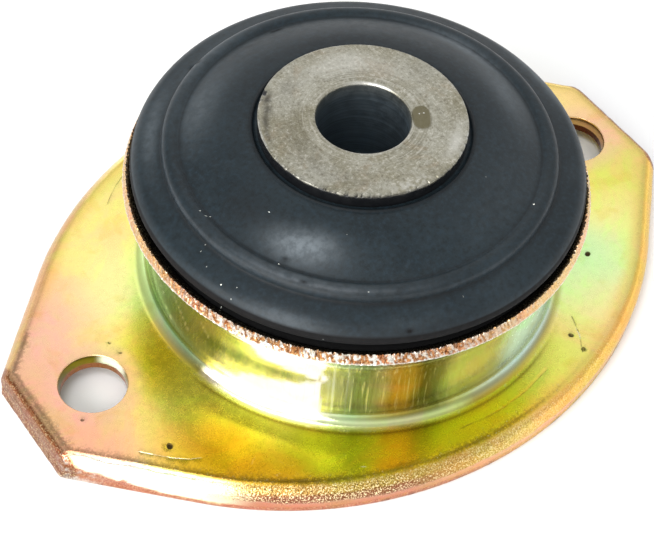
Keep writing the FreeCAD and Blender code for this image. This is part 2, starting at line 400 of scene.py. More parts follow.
# painted reflection bands round the collar, white where lamps reflect and dark green where darker surroundings
# reflect, at four heights over the plate: angle, tone
WALL_REFLECTIONS = {
    0.12: [(150, ALOE), (172, ALOE), (184, WILLOW), (192, LOAM), (198, WHITE), (262, ALOE), (268, REED), (300, REED), (330, LIME)],
    0.8: [(150, SAGE), (160, FERN), (166, DEEP), (186, DEEP), (193, FERN), (197, WHITE), (225, WHITE), (228, STONE), (234, HAZE),
          (241, REED), (248, LOAM), (257, PEAT), (262, REED), (272, HAZE), (284, SKY), (306, SKY), (330, LIME)],
    4.0: [(150, SAGE), (158, DEEP), (178, DEEP), (186, FERN), (196, FERN), (199.5, WHITE), (226, WHITE), (229, FOAM), (234, HAZE), (241, STONE),
          (245, CARAMEL), (249, CARAMEL), (252, LOAM), (256, FERN), (261, HUSK), (272, HUSK), (282, ICE), (304, ICE), (330, LIME)],
    10.0: [(150, SAGE), (160, DEEP), (182, DEEP), (189, FERN), (197, WILLOW), (203, HAZE), (207, WHITE), (226, WHITE), (229, FOAM), (237, HAZE),
           (241, STONE), (245, CARAMEL), (249, CARAMEL), (252, LOAM), (257, WILLOW), (262, HUSK), (274, HUSK), (286, ICE), (304, ICE), (330, LIME)],
}


def wall_reflection(th, z):
    """The collar's painted reflection colour at angle th and height z over the plate."""
    hs = sorted(WALL_REFLECTIONS)
    cols = []
    for h in hs:
        k = [e[0] for e in WALL_REFLECTIONS[h]] + [510]
        c = [e[1] for e in WALL_REFLECTIONS[h]] + [WALL_REFLECTIONS[h][0][1]]
        t = np.where(th < 150, th + 360, th)
        cols.append(np.stack([np.interp(t, k, [v[i] for v in c]) for i in range(3)], 1))
    cols = np.stack(cols)
    pos = np.interp(z, hs, np.arange(len(hs)))
    lo = np.minimum(pos.astype(int), len(hs) - 2)
    f = (pos - lo)[:, None]
    n = np.arange(len(th))
    return cols[lo, n] * (1 - f) + cols[lo + 1, n] * f


def blend_field(x, y, field):
    num, den = 0, 1e-9
    for fx, fy, reach, col, w in field:
        g = w * np.exp(-((x - fx) ** 2 + (y - fy) ** 2) / (2 * (reach * 1.15) ** 2))
        num = num + g[:, None] * np.array(col)
        den = den + g
    return num / den[:, None]


def edge_distance(x, y):
    """How far inside the rim's outline a point is."""
    ax, ay = np.abs(x), np.abs(y)
    side = BELLY_R - np.hypot(ax, ay - BELLY_CY)
    slant = SLANT_D - (NX * ax + NY * ay)
    side = np.where(ax > BELLY_X, slant, side)
    end = np.where(x < 0, END_NEG - ax, END_POS - ax)
    return np.minimum(side, end)


# points, faces and colours of the outline, layer by layer
N_ARC, N_SLANT, N_CORN, N_END = 250, 42, 8, 54


def outline_loop(side, end, bulge=0.0):
    """The outline set in, counter-clockwise from the +Y belly."""
    r = BELLY_R - side
    p = (r * NX, BELLY_CY + r * NY)
    d = NX * p[0] + NY * p[1]

    def corner(x_end, cr):
        cx = x_end - cr
        cy = (d - cr - NX * cx) / NY
        return (cx + cr * NX, cy + cr * NY), (cx, cy), (x_end, cy)

    out = []
    # +X half, +Y side first: belly arc is drawn last so the loop starts on the +X end
    (ap, cp, bp), (an, cn, bn) = corner(END_POS - end, 2.6), corner(END_NEG - end, 0.7)
    rp, rn = 2.6, 0.7
    a0 = math.atan2(NY, NX)

    def arc_pts(c, rad, t0, t1, n):
        return [(c[0] + rad * math.cos(t0 + (t1 - t0) * k / n), c[1] + rad * math.sin(t0 + (t1 - t0) * k / n)) for k in range(n)]

    def seg_pts(a, b, n):
        ux, uy = b[0] - a[0], b[1] - a[1]
        l = math.hypot(ux, uy)
        h = [bulge * math.sin(math.pi * k / n) / l for k in range(n)]
        return [(a[0] + ux * k / n + uy * h[k], a[1] + uy * k / n - ux * h[k]) for k in range(n)]

    out += seg_pts((END_POS - end, -bp[1]), (END_POS - end, bp[1]), N_END)
    out += arc_pts(cp, rp, 0.0, a0, N_CORN)
    out += seg_pts(ap, p, N_SLANT)
    out += arc_pts((0, BELLY_CY), r, a0, math.pi - a0, N_ARC)
    out += seg_pts((-p[0], p[1]), (-an[0], an[1]), N_SLANT)
    out += arc_pts((-cn[0], cn[1]), rn, math.pi - a0, math.pi, N_CORN)
    out += seg_pts((-(END_NEG - end), bn[1]), (-(END_NEG - end), -bn[1]), N_END)
    out += arc_pts((-cn[0], -cn[1]), rn, math.pi, math.pi + a0, N_CORN)
    out += seg_pts((-an[0], -an[1]), (-p[0], -p[1]), N_SLANT)
    out += arc_pts((0, -BELLY_CY), r, math.pi + a0, TAU - a0, N_ARC)
    out += seg_pts((p[0], -p[1]), (ap[0], -ap[1]), N_SLANT)
    out += arc_pts((cp[0], -cp[1]), rp, TAU - a0, TAU, N_CORN)
    return np.array(out)


# shallow round pits: x, y, radius, depth
PITS = [(-37.8, -13.6, 0.46, 0.22), (-45.0, -4.2, 0.24, 0.10), (-35.9, 4.5, 0.20, 0.08), (-35.5, 2.3, 0.20, 0.06),
        (-27.3, 15.6, 0.26, 0.06), (-47.0, 9.1, 0.20, 0.05), (28.1, -18.2, 0.42, 0.16),
        (21.3, -20.9, 0.34, 0.12), (16.8, -27.9, 0.36, 0.16), (16.7, -30.6, 0.34, 0.14), (16.6, -34.0, 0.36, 0.12),
        (-12.0, 33.2, 0.30, 0.10), (24.0, 27.5, 0.36, 0.14), (39.0, 15.5, 0.28, 0.10)]
# scratches: points, half width, kind
SCRATCHES = [
    ([(-41.7, -11.9), (-40.6, -13.2), (-39.2, -14.6), (-37.9, -15.7), (-36.6, -16.7), (-35.2, -17.4)], 0.10, "bare_and_glints"),
    ([(21.3, -21.1), (20.2, -23.0), (19.3, -24.6), (18.7, -26.4), (18.0, -28.0), (17.0, -29.8), (15.9, -31.5)], 0.17, "dark"),
    ([(18.2, -27.2), (17.9, -28.3), (17.3, -29.2)], 0.26, "bare_and_glints"),
    ([(-5.4, -31.6), (-1.8, -32.1), (1.7, -32.2), (5.5, -31.8), (8.4, -31.1), (10.7, -30.4)], 0.10, "dark"),
    ([(-19.4, -29.3), (-18.6, -29.7)], 0.20, "bare_and_glints"),
    ([(0.1, -35.0), (0.5, -34.6)], 0.30, "bare_and_glints"),
    ([(-46.2, -9.1), (-45.7, -9.9), (-45.1, -10.8)], 0.42, "bare_and_glints"),
    ([(-43.0, -13.2), (-42.6, -14.0), (-42.3, -14.9)], 0.30, "bare_and_glints"),
    ([(40.5, 20.0), (38.0, 22.5), (35.0, 24.6), (31.6, 26.4)], 0.10, "bare_and_glints"),
    ([(-24.0, 25.5), (-20.5, 28.4), (-16.6, 30.6)], 0.10, "dark"),
]

NC, KF = 600, 4                              # columns round the collar, and how much finer the sheared lip is
R_OUT = 31.6                                 # where the collar's columns meet the flat


def build_flange():
    m = Mesh()
    names = {}
    # ---- collar: outside, sheared lip, inside, underside bend
    e_ = polar(FLARE_C, FLARE_R, 135)
    d_ = polar(FLARE_C, FLARE_R, 175.4)
    h_ = polar(FLARE_C, FLARE_R + 2.15, 175.4)
    g_ = polar(FLARE_C, FLARE_R + 1.5, 135)
    cut = (30.43, 17.04)
    low = [(R_OUT, 0.0), (31.1, 0.0), (30.6, 0.0), (30.2, 0.0)]
    foot = polar((29.98, 2.02), 2.02, 184)
    low += [(29.98, 0.0)] + arc3((29.98, 0.0), polar((29.98, 2.02), 2.02, 227), foot, 14)
    low += arc3(foot, (27.845, 5.2), (27.87, 7.0), 8) + arc3((27.87, 7.0), (27.98, 8.6), d_, 5)
    flare = arc3(d_, polar(FLARE_C, FLARE_R, 155.2), e_, 18)
    low += flare[:-1]
    rows = [m.add(ring(r, z + ZT, NC)) for r, z in low]
    for a, b in zip(rows, rows[1:]):
        m.bridge(a, b)
    names["outside"] = np.concatenate(rows)
    # the lip, in fine columns
    nf = NC * KF
    th = np.arange(nf) * TAU / nf
    lip = [e_] + line(e_, cut, 9) + line(cut, g_, 4)
    fine_rows, lip_t = [], []
    teeth_n = 300
    jit = vnoise(th * 60 / TAU * 4, 0, 0, 3) * 0.35 + vnoise(th * 300 / TAU * 0.5, 3, 0, 5) * 0.55
    strength = 0.45 + 0.55 * np.exp(-((np.degrees(th) - 232) / 42.0) ** 2)
    strength = np.maximum(strength, 0.38)
    nrm = np.array([math.cos(math.radians(18)), math.sin(math.radians(18))])
    for k, (r, z) in enumerate(lip):
        t = k / 9.0 if k <= 9 else 1.0 + (k - 9) / 4.0
        ph = th * teeth_n / TAU + jit + 0.55 * t
        saw = np.abs((ph % 1.0) * 2 - 1)
        rag = vnoise(th * 210, t * 5.0, 0, 11)
        rag2 = vnoise(th * 30.6 * 3.4, t * 7.0, 0, 12)
        if k <= 9:
            env = math.sin(min(t, 1.0) * math.pi * 0.62 + 0.05)
            d = env * (-0.24 * saw * strength * (0.7 + 0.5 * rag) + 0.12 * rag2 * strength)
            up = (0.34 * (1 - saw) * strength + 0.22 * rag * strength) * smooth(0.55, 1.0, t)
            rr = r + d * nrm[0] + (0.05 * smooth(0.25, 0.0, t) * (0.6 + 0.8 * rag2))
            zz = z + d * nrm[1] + up
        else:
            u = (k - 9) / 4.0
            rr = r - 0.02 * u + 0 * th
            zz = z + (0.34 * (1 - saw) * strength + 0.22 * rag * strength) * (1 - u) ** 1.5 - 0.05 * u
        xyz = np.stack([rr * np.cos(th), rr * np.sin(th), zz + ZT], 1)
        ids = m.add(xyz)
        fine_rows.append(ids)
        lip_t.append(np.full(nf, t))
    m.fan(rows[-1], fine_rows[0], True)
    for a, b in zip(fine_rows, fine_rows[1:]):
        m.bridge(a, b)
    names["lip"], names["lip_t"] = np.concatenate(fine_rows), np.concatenate(lip_t)
    i_ = (25.4, 4.5 - SHEET)
    inner = arc3(g_, polar(FLARE_C, FLARE_R + 1.825, 155.2), h_, 4) + arc3(h_, (25.60, 6.0), i_, 3)
    bend_c = (29.9, 4.5 - SHEET)
    inner += arc3(i_, polar(bend_c, 4.5, 225), (29.9, -SHEET), 9) + [(30.7, -SHEET), (R_OUT, -SHEET)]
    irows = [m.add(ring(r, z + ZT, NC)) for r, z in inner]
    m.fan(irows[0], fine_rows[-1], False)
    for a, b in zip(irows, irows[1:]):
        m.bridge(a, b)
    names["inside"] = np.concatenate(irows)
    # ---- rim: pocket edge, foot, sheared side, rolled top
    layers = [(3.60, 3.45, -2.4), (3.28, 3.15, -2.50), (2.85, 2.75, -2.95), (2.42, 2.38, -3.7), (2.22, 2.2, -4.2),
              (1.40, 1.30, -4.2), (0.42, 0.30, -4.2), (0.16, 0.03, -4.14), (0.10, 0.02, -3.9), (0.09, 0.07, -3.5),
              (0.07, 0.15, -3.1), (0.05, 0.22, -2.75), (0.01, 0.29, -2.4), (0.0, 0.34, -2.15), (0.02, 0.39, -1.9),
              (0.08, 0.44, -1.62), (0.19, 0.49, -1.36), (0.34, 0.54, -1.11), (0.54, 0.60, -0.86), (0.76, 0.67, -0.62),
              (1.00, 0.80, -0.42), (1.28, 1.08, -0.27), (1.58, 1.45, -0.13), (1.90, 1.90, -0.04), (2.4, 2.4, 0.0)]
    L = np.array(layers)
    loops = []
    n_out = len(outline_loop(0, 0))
    tear = None
    for side, end, z in layers:
        xy = outline_loop(side, end, 0.02 if z in (-SHEET, 0.0) and side > 2 else 0.0)
        x, y = xy[:, 0], xy[:, 1]
        # the tear line wanders, and the side under it is rough
        arcpos = np.arctan2(y, x)
        px = x * 1.0
        wander = 0.30 * vnoise(px * 0.35, y * 0.35, 0, 21) + 0.14 * vnoise(px * 1.6, y * 1.6, 0, 22)
        w = math.exp(-((z + 2.3) / 0.55) ** 2)
        zz = z + wander * w
        onside = smooth(-3.95, -3.6, z) * (1 - smooth(-2.5, -2.0, z))
        inwards = 0.07 * onside * (0.5 + 0.5 * vnoise(px * 2.3, y * 2.3, z * 0.6, 23)) + 0.05 * onside * np.abs(vnoise(px * 6, y * 6, z * 0.5, 24))
        # the torn corner
        dc = np.hypot(x + 49.2, y + 9.2)
        crumple = np.exp(-(dc / 2.6) ** 2)
        upper = smooth(-4.2, -3.3, z) * (1 - smooth(-0.5, 0.0, z))
        inwards = inwards + crumple * upper * (0.16 + 0.30 * np.abs(vnoise(px * 1.9, y * 1.9, z * 1.5, 25)))
        d2 = np.exp(-((np.hypot(x + 44.5, y + 14.2)) / 3.2) ** 2)
        inwards = inwards + d2 * upper * 0.16 * np.abs(vnoise(px * 2.5, y * 2.5, z * 1.2, 26))
        # end face: fine upright tears
        endm = smooth(0.6, 0.2, np.minimum(np.abs(x + END_NEG), np.abs(x - END_POS))) * (1 - smooth(-1.0, -0.4, z))
        inwards = inwards + endm * (0.05 * (0.5 + 0.5 * vnoise(y * 4.2, z * 0.7, x * 0.1, 27)) + 0.05 * np.abs(vnoise(y * 1.3, z * 0.9, 0, 28)))
        # soft dents along the rolled edge
        roll = smooth(-2.1, -1.2, z) * (1 - smooth(-0.35, 0.0, z))
        inwards = inwards + roll * 0.045 * (0.5 + 0.5 * fbm(px * 0.45, y * 0.45, z, 29))
        g = np.stack([x, y], 1) / np.hypot(x, y)[:, None]
        xx, yy = x - g[:, 0] * inwards, y - g[:, 1] * inwards
        zz = zz + roll * 0.04 * vnoise(px * 0.8, y * 0.8, 0, 30)
        zz = np.clip(zz, -4.2, 0.0)
        loops.append(m.add(np.stack([xx, yy, zz + ZT], 1)))
    for a, b in zip(loops, loops[1:]):
        m.bridge(a, b)
    names["rim"] = np.concatenate(loops)
    names["rim_layer"] = np.repeat(np.arange(len(layers)), n_out)
    # ---- bolt holes
    hole_rows = []
    nh = 96
    for sx in (-1, 1):
        c = np.array([sx * HOLE_X, 0, ZT])
        prof = [(4.66, 0.0), (4.60, -0.012), (4.555, -0.05), (4.51, -0.13), (4.47, -0.26), (4.43, -0.42), (4.39, -0.62), (4.35, -0.95),
                (4.32, -1.3), (4.30, -1.42), (4.31, -1.75), (4.31, -2.1), (4.34, -2.4), (4.62, -2.4)]
        rows_h = []
        for r, z in prof:
            p = ring(r, z, nh)
            a = np.arange(nh) * TAU / nh
            if -2.35 < z < -1.35:
                rad = 0.07 * vnoise(a * 12, z * 2, sx, 31)
                p[:, 0] += np.cos(a) * np.abs(rad)
                p[:, 1] += np.sin(a) * np.abs(rad)
            rows_h.append(m.add(p + c))
        for a, b in zip(rows_h, rows_h[1:]):
            m.bridge(a, b)
        hole_rows.append(rows_h)
    names["holes"] = np.concatenate([np.concatenate(h) for h in hole_rows])
    # ---- flat faces
    marks = {}

    def flat(outer, inner_ring, holes, z, top):
        P = m.points()
        fixed = np.concatenate([outer, inner_ring, *holes])
        pts = [P[fixed][:, :2]]
        step = 0.92 if top else 2.4
        gx, gy = np.meshgrid(np.arange(-50, 50, step), np.arange(-37, 37, step * 0.866))
        gx = gx + (np.arange(gx.shape[0])[:, None] % 2) * step / 2
        g = np.stack([gx.ravel(), gy.ravel()], 1)
        g = g + rng.uniform(-0.12, 0.12, g.shape) * step
        inset = 2.9 if top else 4.4
        ok = edge_distance(g[:, 0], g[:, 1]) > inset + 0.15
        ok &= np.hypot(g[:, 0], g[:, 1]) > R_OUT + 0.45
        for sx in (-1, 1):
            ok &= np.hypot(g[:, 0] - sx * HOLE_X, g[:, 1]) > (HOLE_R + (1.5 if top else 1.2))
        g = g[ok]
        extra, ez, edark, ebare = [], [], [], []
        if top:
            for x, y, r, d in PITS:
                a = np.arange(10) * TAU / 10 + x
                deep = min(1.0, 0.70 + 1.4 * (r - 0.2))
                for rr, zz, dk in ((r * 1.14, 0.0, 0.0), (r * 1.0, -0.15 * d, 0.85 * deep), (r * 0.62, -d, deep)):
                    wob = 1 + 0.12 * np.sin(a * 2 + y) * (rr < r * 1.2)
                    extra.append(np.stack([x + rr * wob * np.cos(a), y + rr * wob * np.sin(a)], 1))
                    ez += [zz] * 10
                    edark += [dk] * 10
                    ebare += [0.0] * 10
                extra.append(np.array([[x, y]]))
                ez.append(-d * 1.05)
                edark.append(deep)
                ebare.append(0.0)
            for pts_s, hw, kind in SCRATCHES:
                p = np.array(pts_s, float)
                seg = np.hypot(*np.diff(p, axis=0).T)
                s = np.concatenate([[0], np.cumsum(seg)])
                t = np.linspace(0, s[-1], max(3, int(s[-1] / 0.26)))
                cxy = np.stack([np.interp(t, s, p[:, 0]), np.interp(t, s, p[:, 1])], 1)
                dxy = np.gradient(cxy, axis=0)
                dxy /= np.hypot(dxy[:, 0], dxy[:, 1])[:, None]
                nn = np.stack([-dxy[:, 1], dxy[:, 0]], 1)
                cxy = cxy + nn * 0.06 * vnoise(t * 1.3, 0, 0, 41)[:, None]
                wv = hw * (0.55 + 0.45 * np.abs(vnoise(t * 1.7, 1, 0, 42)))
                amp = np.clip(0.55 + 0.7 * np.abs(vnoise(t * 1.1, 2, 0, 43)), 0, 1) * smooth(0, 0.5, t) * smooth(0, 0.5, s[-1] - t)
                for o in (-1, 0, 1):
                    extra.append(cxy + nn * (wv * o)[:, None])
                    mid = 1.0 if o == 0 else 0.0
                    ez += list(-0.03 * mid * amp)
                    edark += list(amp * mid * (0.75 if kind == "dark" else 0.0))
                    ebare += list(amp * mid * (1.0 if kind == "bare_and_glints" else 0.0))
        ex = np.concatenate(extra) if extra else np.zeros((0, 2))
        if len(ex):
            ok = (edge_distance(ex[:, 0], ex[:, 1]) > 2.75) & (np.hypot(ex[:, 0], ex[:, 1]) > R_OUT + 0.12)
            ex, ez, edark, ebare = ex[ok], np.array(ez)[ok], np.array(edark)[ok], np.array(ebare)[ok]
            # grid points too near a mark go
            keep = np.ones(len(g), bool)
            for p0 in ex:
                keep &= (np.abs(g[:, 0] - p0[0]) > 0.30) | (np.abs(g[:, 1] - p0[1]) > 0.30)
            g = g[keep]
        gz = 0.020 * fbm(g[:, 0] * 0.10, g[:, 1] * 0.10, 0, 51) * smooth(0, 3, edge_distance(g[:, 0], g[:, 1]) - 2.9) if top else np.zeros(len(g))
        new = np.concatenate([g, ex]) if len(ex) else g
        newz = np.concatenate([gz, ez]) if len(ex) else gz
        ids = m.add(np.column_stack([new, newz + z]))
        if top:
            marks["ids"] = ids
            marks["dark"] = np.concatenate([np.zeros(len(g)), edark])
            marks["bare_and_glints"] = np.concatenate([np.zeros(len(g)), ebare])
        allids = np.concatenate([fixed, ids])
        allp = np.concatenate([P[fixed][:, :2], new])
        edges, o = [], 0
        for lp in (outer, inner_ring, *holes):
            k = len(lp)
            edges += [(o + j, o + (j + 1) % k) for j in range(k)]
            o += k
        vo, eo, fo, ov, oe, of_ = geometry.delaunay_2d_cdt([Vector(p) for p in allp], edges, [], 0, 1e-7)
        back = np.array([x[0] if len(x) else -1 for x in ov])
        F = np.array([f for f in fo if len(f) == 3])
        F = back[F]
        F = F[(F >= 0).all(1)]
        c = allp[F].mean(1)
        poly = P[outer][:, :2]
        inside = np.zeros(len(c), bool)
        x0, y0 = poly[:, 0], poly[:, 1]
        x1, y1 = np.roll(x0, -1), np.roll(y0, -1)
        for j in range(len(poly)):
            if y0[j] == y1[j]:
                continue
            hit = (y0[j] > c[:, 1]) != (y1[j] > c[:, 1])
            xs = (x1[j] - x0[j]) * (c[:, 1] - y0[j]) / (y1[j] - y0[j]) + x0[j]
            inside ^= hit & (c[:, 0] < xs)
        hr = np.hypot(*(P[holes[0]][0, :2] - (-HOLE_X, 0)))
        inside &= np.hypot(c[:, 0], c[:, 1]) > R_OUT * math.cos(math.pi / NC)
        for sx in (-1, 1):
            inside &= np.hypot(c[:, 0] - sx * HOLE_X, c[:, 1]) > hr * math.cos(math.pi / nh)
        F = F[inside]
        a, b, cc = allp[F[:, 0]], allp[F[:, 1]], allp[F[:, 2]]
        area = (b[:, 0] - a[:, 0]) * (cc[:, 1] - a[:, 1]) - (b[:, 1] - a[:, 1]) * (cc[:, 0] - a[:, 0])
        F = np.where((area > 0)[:, None], F, F[:, ::-1])
        if not top:
            F = F[:, ::-1]
        m.t.append(allids[F])

    flat(loops[-1], rows[0], [h[0] for h in hole_rows], ZT, True)
    flat(loops[0], irows[-1], [h[-1] for h in hole_rows], ZT - SHEET, False)
    # ---- per-point values
    P = m.points()
    x, y, z = P[:, 0], P[:, 1], P[:, 2] - ZT
    n = len(P)
    r, th_d = np.hypot(x, y), np.degrees(np.arctan2(y, x)) % 360
    tint = blend_field(x + 1.5 * fbm(x * 0.16, y * 0.16, 0, 61), y + 1.5 * fbm(x * 0.16, y * 0.16, 9, 62), FIELD)
    d = edge_distance(x, y)
    right = smooth(-5, 22, x)
    left_end = smooth(-40, -46, x)
    edgec = (np.array(BRONZE)[None] * (1 - right)[:, None] + np.array(lin(0.89, 0.76, 0.48))[None] * right[:, None])
    edgec = edgec * (1 - left_end)[:, None] + np.array(PINK)[None] * left_end[:, None]
    ew = smooth(3.6, 1.8, d + 0.6 * fbm(x * 0.3, y * 0.3, 3, 63)) * (0.35 + 0.35 * right)
    tint = tint * (1 - ew)[:, None] + edgec * ew[:, None]
    for sx in (-1, 1):
        hw = smooth(3.0, 0.8, np.hypot(x - sx * HOLE_X, y) - HOLE_R) * 0.5
        tint = tint * (1 - hw)[:, None] + np.array(ROSE)[None] * hw[:, None]
    dark, bare_and_glints, grit_and_glints, drawn, gloss = (np.zeros(n) for _ in range(5))
    # collar outside
    wth = th_d + 0.7 * vnoise(th_d * 0.9, z * 0.25, 0, 64) + 1.2 * vnoise(th_d * 0.12, z * 0.3, 0, 65)
    wall_refl = wall_reflection(wth, z + 0.5 * vnoise(th_d * 0.3, z * 0.5, 0, 66) * smooth(1.6, 3.5, z))
    cw = np.zeros(n)
    out_ids = names["outside"]
    cw[out_ids] = smooth(30.1, 28.6, r[out_ids]) * (z[out_ids] < 8) + (z[out_ids] >= 8)
    cw = np.clip(cw, 0, 1)
    tint = tint * (1 - cw)[:, None] + wall_refl * cw[:, None]
    # painted shade: a dark line on the plate along the collar's foot
    crease_shade = np.zeros(n)
    crease_shade[out_ids] = np.exp(-((r[out_ids] - 30.25) / 0.28) ** 2) * (z[out_ids] < 0.3) * smooth(188, 200, th_d[out_ids]) * smooth(302, 285, th_d[out_ids])
    tint = tint * (1 - 0.7 * crease_shade)[:, None] + np.array(lin(0.42, 0.30, 0.10))[None] * (0.7 * crease_shade)[:, None]
    drawn[out_ids] = smooth(1.0, 2.6, z[out_ids]) * (0.10 + 0.9 * np.exp(-((th_d[out_ids] - 236) / 11) ** 2) + 0.35 * np.exp(-((th_d[out_ids] - 256) / 7) ** 2))
    gloss[out_ids] = smooth(30.0, 28.8, r[out_ids]) + (z[out_ids] > 3)
    gloss = np.clip(gloss, 0, 1) * (1 - 0.9 * smooth(272, 284, th_d) * smooth(332, 320, th_d))
    # dark line at the waist
    wl = np.zeros(n)
    wz, wt = z[out_ids], th_d[out_ids]
    line_z = 1.75 + 0.25 * np.sin(np.radians(wt) * 7)
    patch = 0.85 * np.exp(-((wt - 247) / 10.5) ** 2) + 0.55 * np.exp(-((wt - 280) / 5) ** 2) + 0.55 * np.exp(-((wt - 266) / 2.0) ** 2) + 0.7 * np.exp(-((wt - 162) / 6) ** 2)
    brk = np.clip(0.25 + 1.5 * vnoise(wt * 0.55, wz * 1.5, 0, 71), 0, 1)
    wl[out_ids] = np.exp(-((wz - line_z) / 0.17) ** 2) * patch * brk
    dark = np.maximum(dark, 0.9 * wl)
    # crease ticks
    tk = np.zeros(n)
    tick = np.clip((vnoise(wt * 2.2, 0, 0, 72) - 0.55) * 5, 0, 1)
    tk[out_ids] = np.exp(-((r[out_ids] - 29.85) / 0.07) ** 2) * tick * (wz < 0.3)
    bare_and_glints = np.maximum(bare_and_glints, 0.8 * tk)
    # the sheared lip: copper where the plating is thin, bright burrs, and painted glints weighted to the lit front
    # left
    li, lt = names["lip"], names["lip_t"]
    a = th_d[li]
    rag = vnoise(np.radians(a) * 110, lt * 4, 0, 81) * 0.6 + vnoise(np.radians(a) * 260, lt * 6, 0, 83) * 0.5
    cop = np.array(lin(0.74, 0.50, 0.34))
    lt_c = np.array(lin(0.94, 0.76, 0.58))
    fr = np.exp(-((a - 228) / 34) ** 2)
    dk_c = np.array(lin(0.44, 0.24, 0.13))
    w1 = np.clip(0.45 + 0.9 * rag, 0, 1)
    c1 = cop[None] * (1 - w1)[:, None] + dk_c[None] * w1[:, None]
    w2 = smooth(255, 290, a) * 0.85 + smooth(200, 165, a) * 0.5
    c1 = c1 * (1 - w2)[:, None] + lt_c[None] * w2[:, None]
    tint[li] = c1
    bare_and_glints[li] = np.clip(smooth(0.16, 0.0, lt) * 0.9 + (0.12 + 0.88 * fr) * smooth(0.0, 0.35, vnoise(np.radians(a) * 120 + lt * 2.0, lt * 3.0, 0, 82)) * 1.0 + smooth(0.85, 1.0, lt) * smooth(0.1, 0.7, rag) * 0.7, 0, 1) * (lt <= 1.3)
    grit_and_glints[li] = 0.25
    dark[li] = 0
    # painted shade: the inner side of the cut lip, in the gap under the rubber, is near black
    back = smooth(1.2, 1.6, lt)
    tint[li] = tint[li] * (1 - back)[:, None] + np.array(lin(0.08, 0.07, 0.06))[None] * back[:, None]
    bare_and_glints[li] *= 1 - back
    # rim colours
    ri, rl = names["rim"], names["rim_layer"]
    rx, ry, rz = x[ri], y[ri], z[ri]
    zl = L[rl, 2]
    side_w = smooth(-2.25, -2.5, zl) * (zl > -4.25)
    front = smooth(5, -8, ry)
    tear_z = np.interp(rx, [-50, -46.5, -44, -43, -41, 0, 25, 46], [-1.5, -1.7, -2.1, -2.7, -3.3, -3.4, -3.3, -2.6]) + 0.20 * vnoise(rx * 1.3, ry * 1.3, 0, 96)
    frontside = smooth(2, -6, ry) * smooth(0.8, 1.6, rx + END_NEG)
    tear_z = tear_z * frontside - 2.35 * (1 - frontside)
    side_w = smooth(tear_z + 0.16, tear_z - 0.16, zl) * (zl > -4.25)
    shear_c = np.array(lin(0.72, 0.47, 0.38))[None] * np.ones((len(ri), 1))
    farright = smooth(-12, 10, rx)
    shear_c = shear_c * (1 - 0.7 * farright)[:, None] + np.array(lin(0.94, 0.78, 0.36))[None] * (0.7 * farright)[:, None]
    t0 = tint[ri]
    rollw = smooth(-0.08, -0.35, zl) * (1 - side_w)
    midfront = smooth(-38, -31, rx) * smooth(8, -6, rx) * front
    roll_c = np.array(lin(0.98, 0.90, 0.66))[None] * (1 - farright)[:, None] + np.array(lin(0.90, 0.72, 0.38))[None] * farright[:, None]
    low = (smooth(-0.75, -1.25, zl) * smooth(-6, -16, rx))[:, None]
    mid_c = np.array(lin(0.76, 0.62, 0.30))[None] * (1 - low) + np.array(lin(0.56, 0.33, 0.26))[None] * low
    mw = (0.95 * midfront)[:, None]
    roll_c = roll_c * (1 - mw) + mid_c * mw
    pinkw = smooth(-1.9, -2.3, zl) * (1 - side_w) * 0.5 * smooth(-36, -30, rx) * front
    t0 = t0 * (1 - rollw)[:, None] + roll_c * rollw[:, None]
    t0 = t0 * (1 - pinkw)[:, None] + np.array(lin(0.94, 0.66, 0.52))[None] * pinkw[:, None]
    t0 = t0 * (1 - side_w)[:, None] + shear_c * side_w[:, None]
    backleft = (smooth(1, 5, ry) * smooth(-14, -28, rx) * smooth(-0.05, -0.25, zl) * (1 - side_w) * 0.85)[:, None]
    t0 = t0 * (1 - backleft) + np.array(lin(0.74, 0.57, 0.42))[None] * backleft
    endf = smooth(1.75, 1.50, np.minimum(np.abs(rx + END_NEG), np.abs(rx - END_POS))) * smooth(-0.10, -0.22, zl)
    end_c = np.array(lin(0.55, 0.32, 0.21))
    t0 = t0 * (1 - endf)[:, None] + end_c[None] * endf[:, None]
    tint[ri] = t0
    mott = 0.5 + 0.5 * vnoise(rx * 2.2, ry * 2.2, rl * 0.9, 91)
    bendline = np.exp(-((L[rl, 0] - 1.85) / 0.50) ** 2) * (1 - side_w) * (0.30 + 0.70 * front) * (1 - 0.85 * farright)
    g_mid = smooth(-41, -32, rx) * (0.22 + 0.30 * smooth(10, -4, rx) + 0.48 * smooth(-10, -20, rx)) * smooth(30, 16, rx) * front
    # grains on the rolled edge, the sheared side and the ends: dark grit with light painted glints
    grit_and_glints[ri] = np.clip(smooth(-0.10, -0.4, zl) * (1 - smooth(-2.0, -2.3, zl)) * (0.06 + 0.94 * g_mid) + 0.30 * side_w + 0.30 * endf + 0.15 * bendline, 0, 1)
    streak_e = smooth(0.0, 0.7, vnoise(ry * 1.1, rz * 7.0, rx * 0.05, 94))
    dark[ri] = np.maximum(dark[ri], endf * streak_e * 0.5)
    scuffp = np.exp(-((rx + 43.3) ** 2 + (ry + 14.1) ** 2) / 0.9) * (zl > -0.6)
    bare_and_glints[ri] = np.maximum(bare_and_glints[ri], scuffp * smooth(-0.3, 0.3, vnoise(rx * 3, ry * 3, 0, 95)))
    cr = np.exp(-(np.hypot(rx + 49.0, ry + 9.6) / 2.4) ** 2)
    bare_and_glints[ri] = np.maximum(bare_and_glints[ri], cr * smooth(0.2, 0.7, vnoise(rx * 3, ry * 3, rl * 0.7, 92)) * (rl < 22))
    # painted shade: darker along the rim's bottom edge where it meets the table
    foot = np.exp(-((zl + 4.0) / 0.35) ** 2)
    dark[ri] = np.maximum(dark[ri], foot * smooth(0.3, 0.9, vnoise(rx * 0.9, ry * 0.9, 0, 93)) * 0.55)
    bare_and_glints[ri] = np.maximum(bare_and_glints[ri], foot * cr * 0.8)
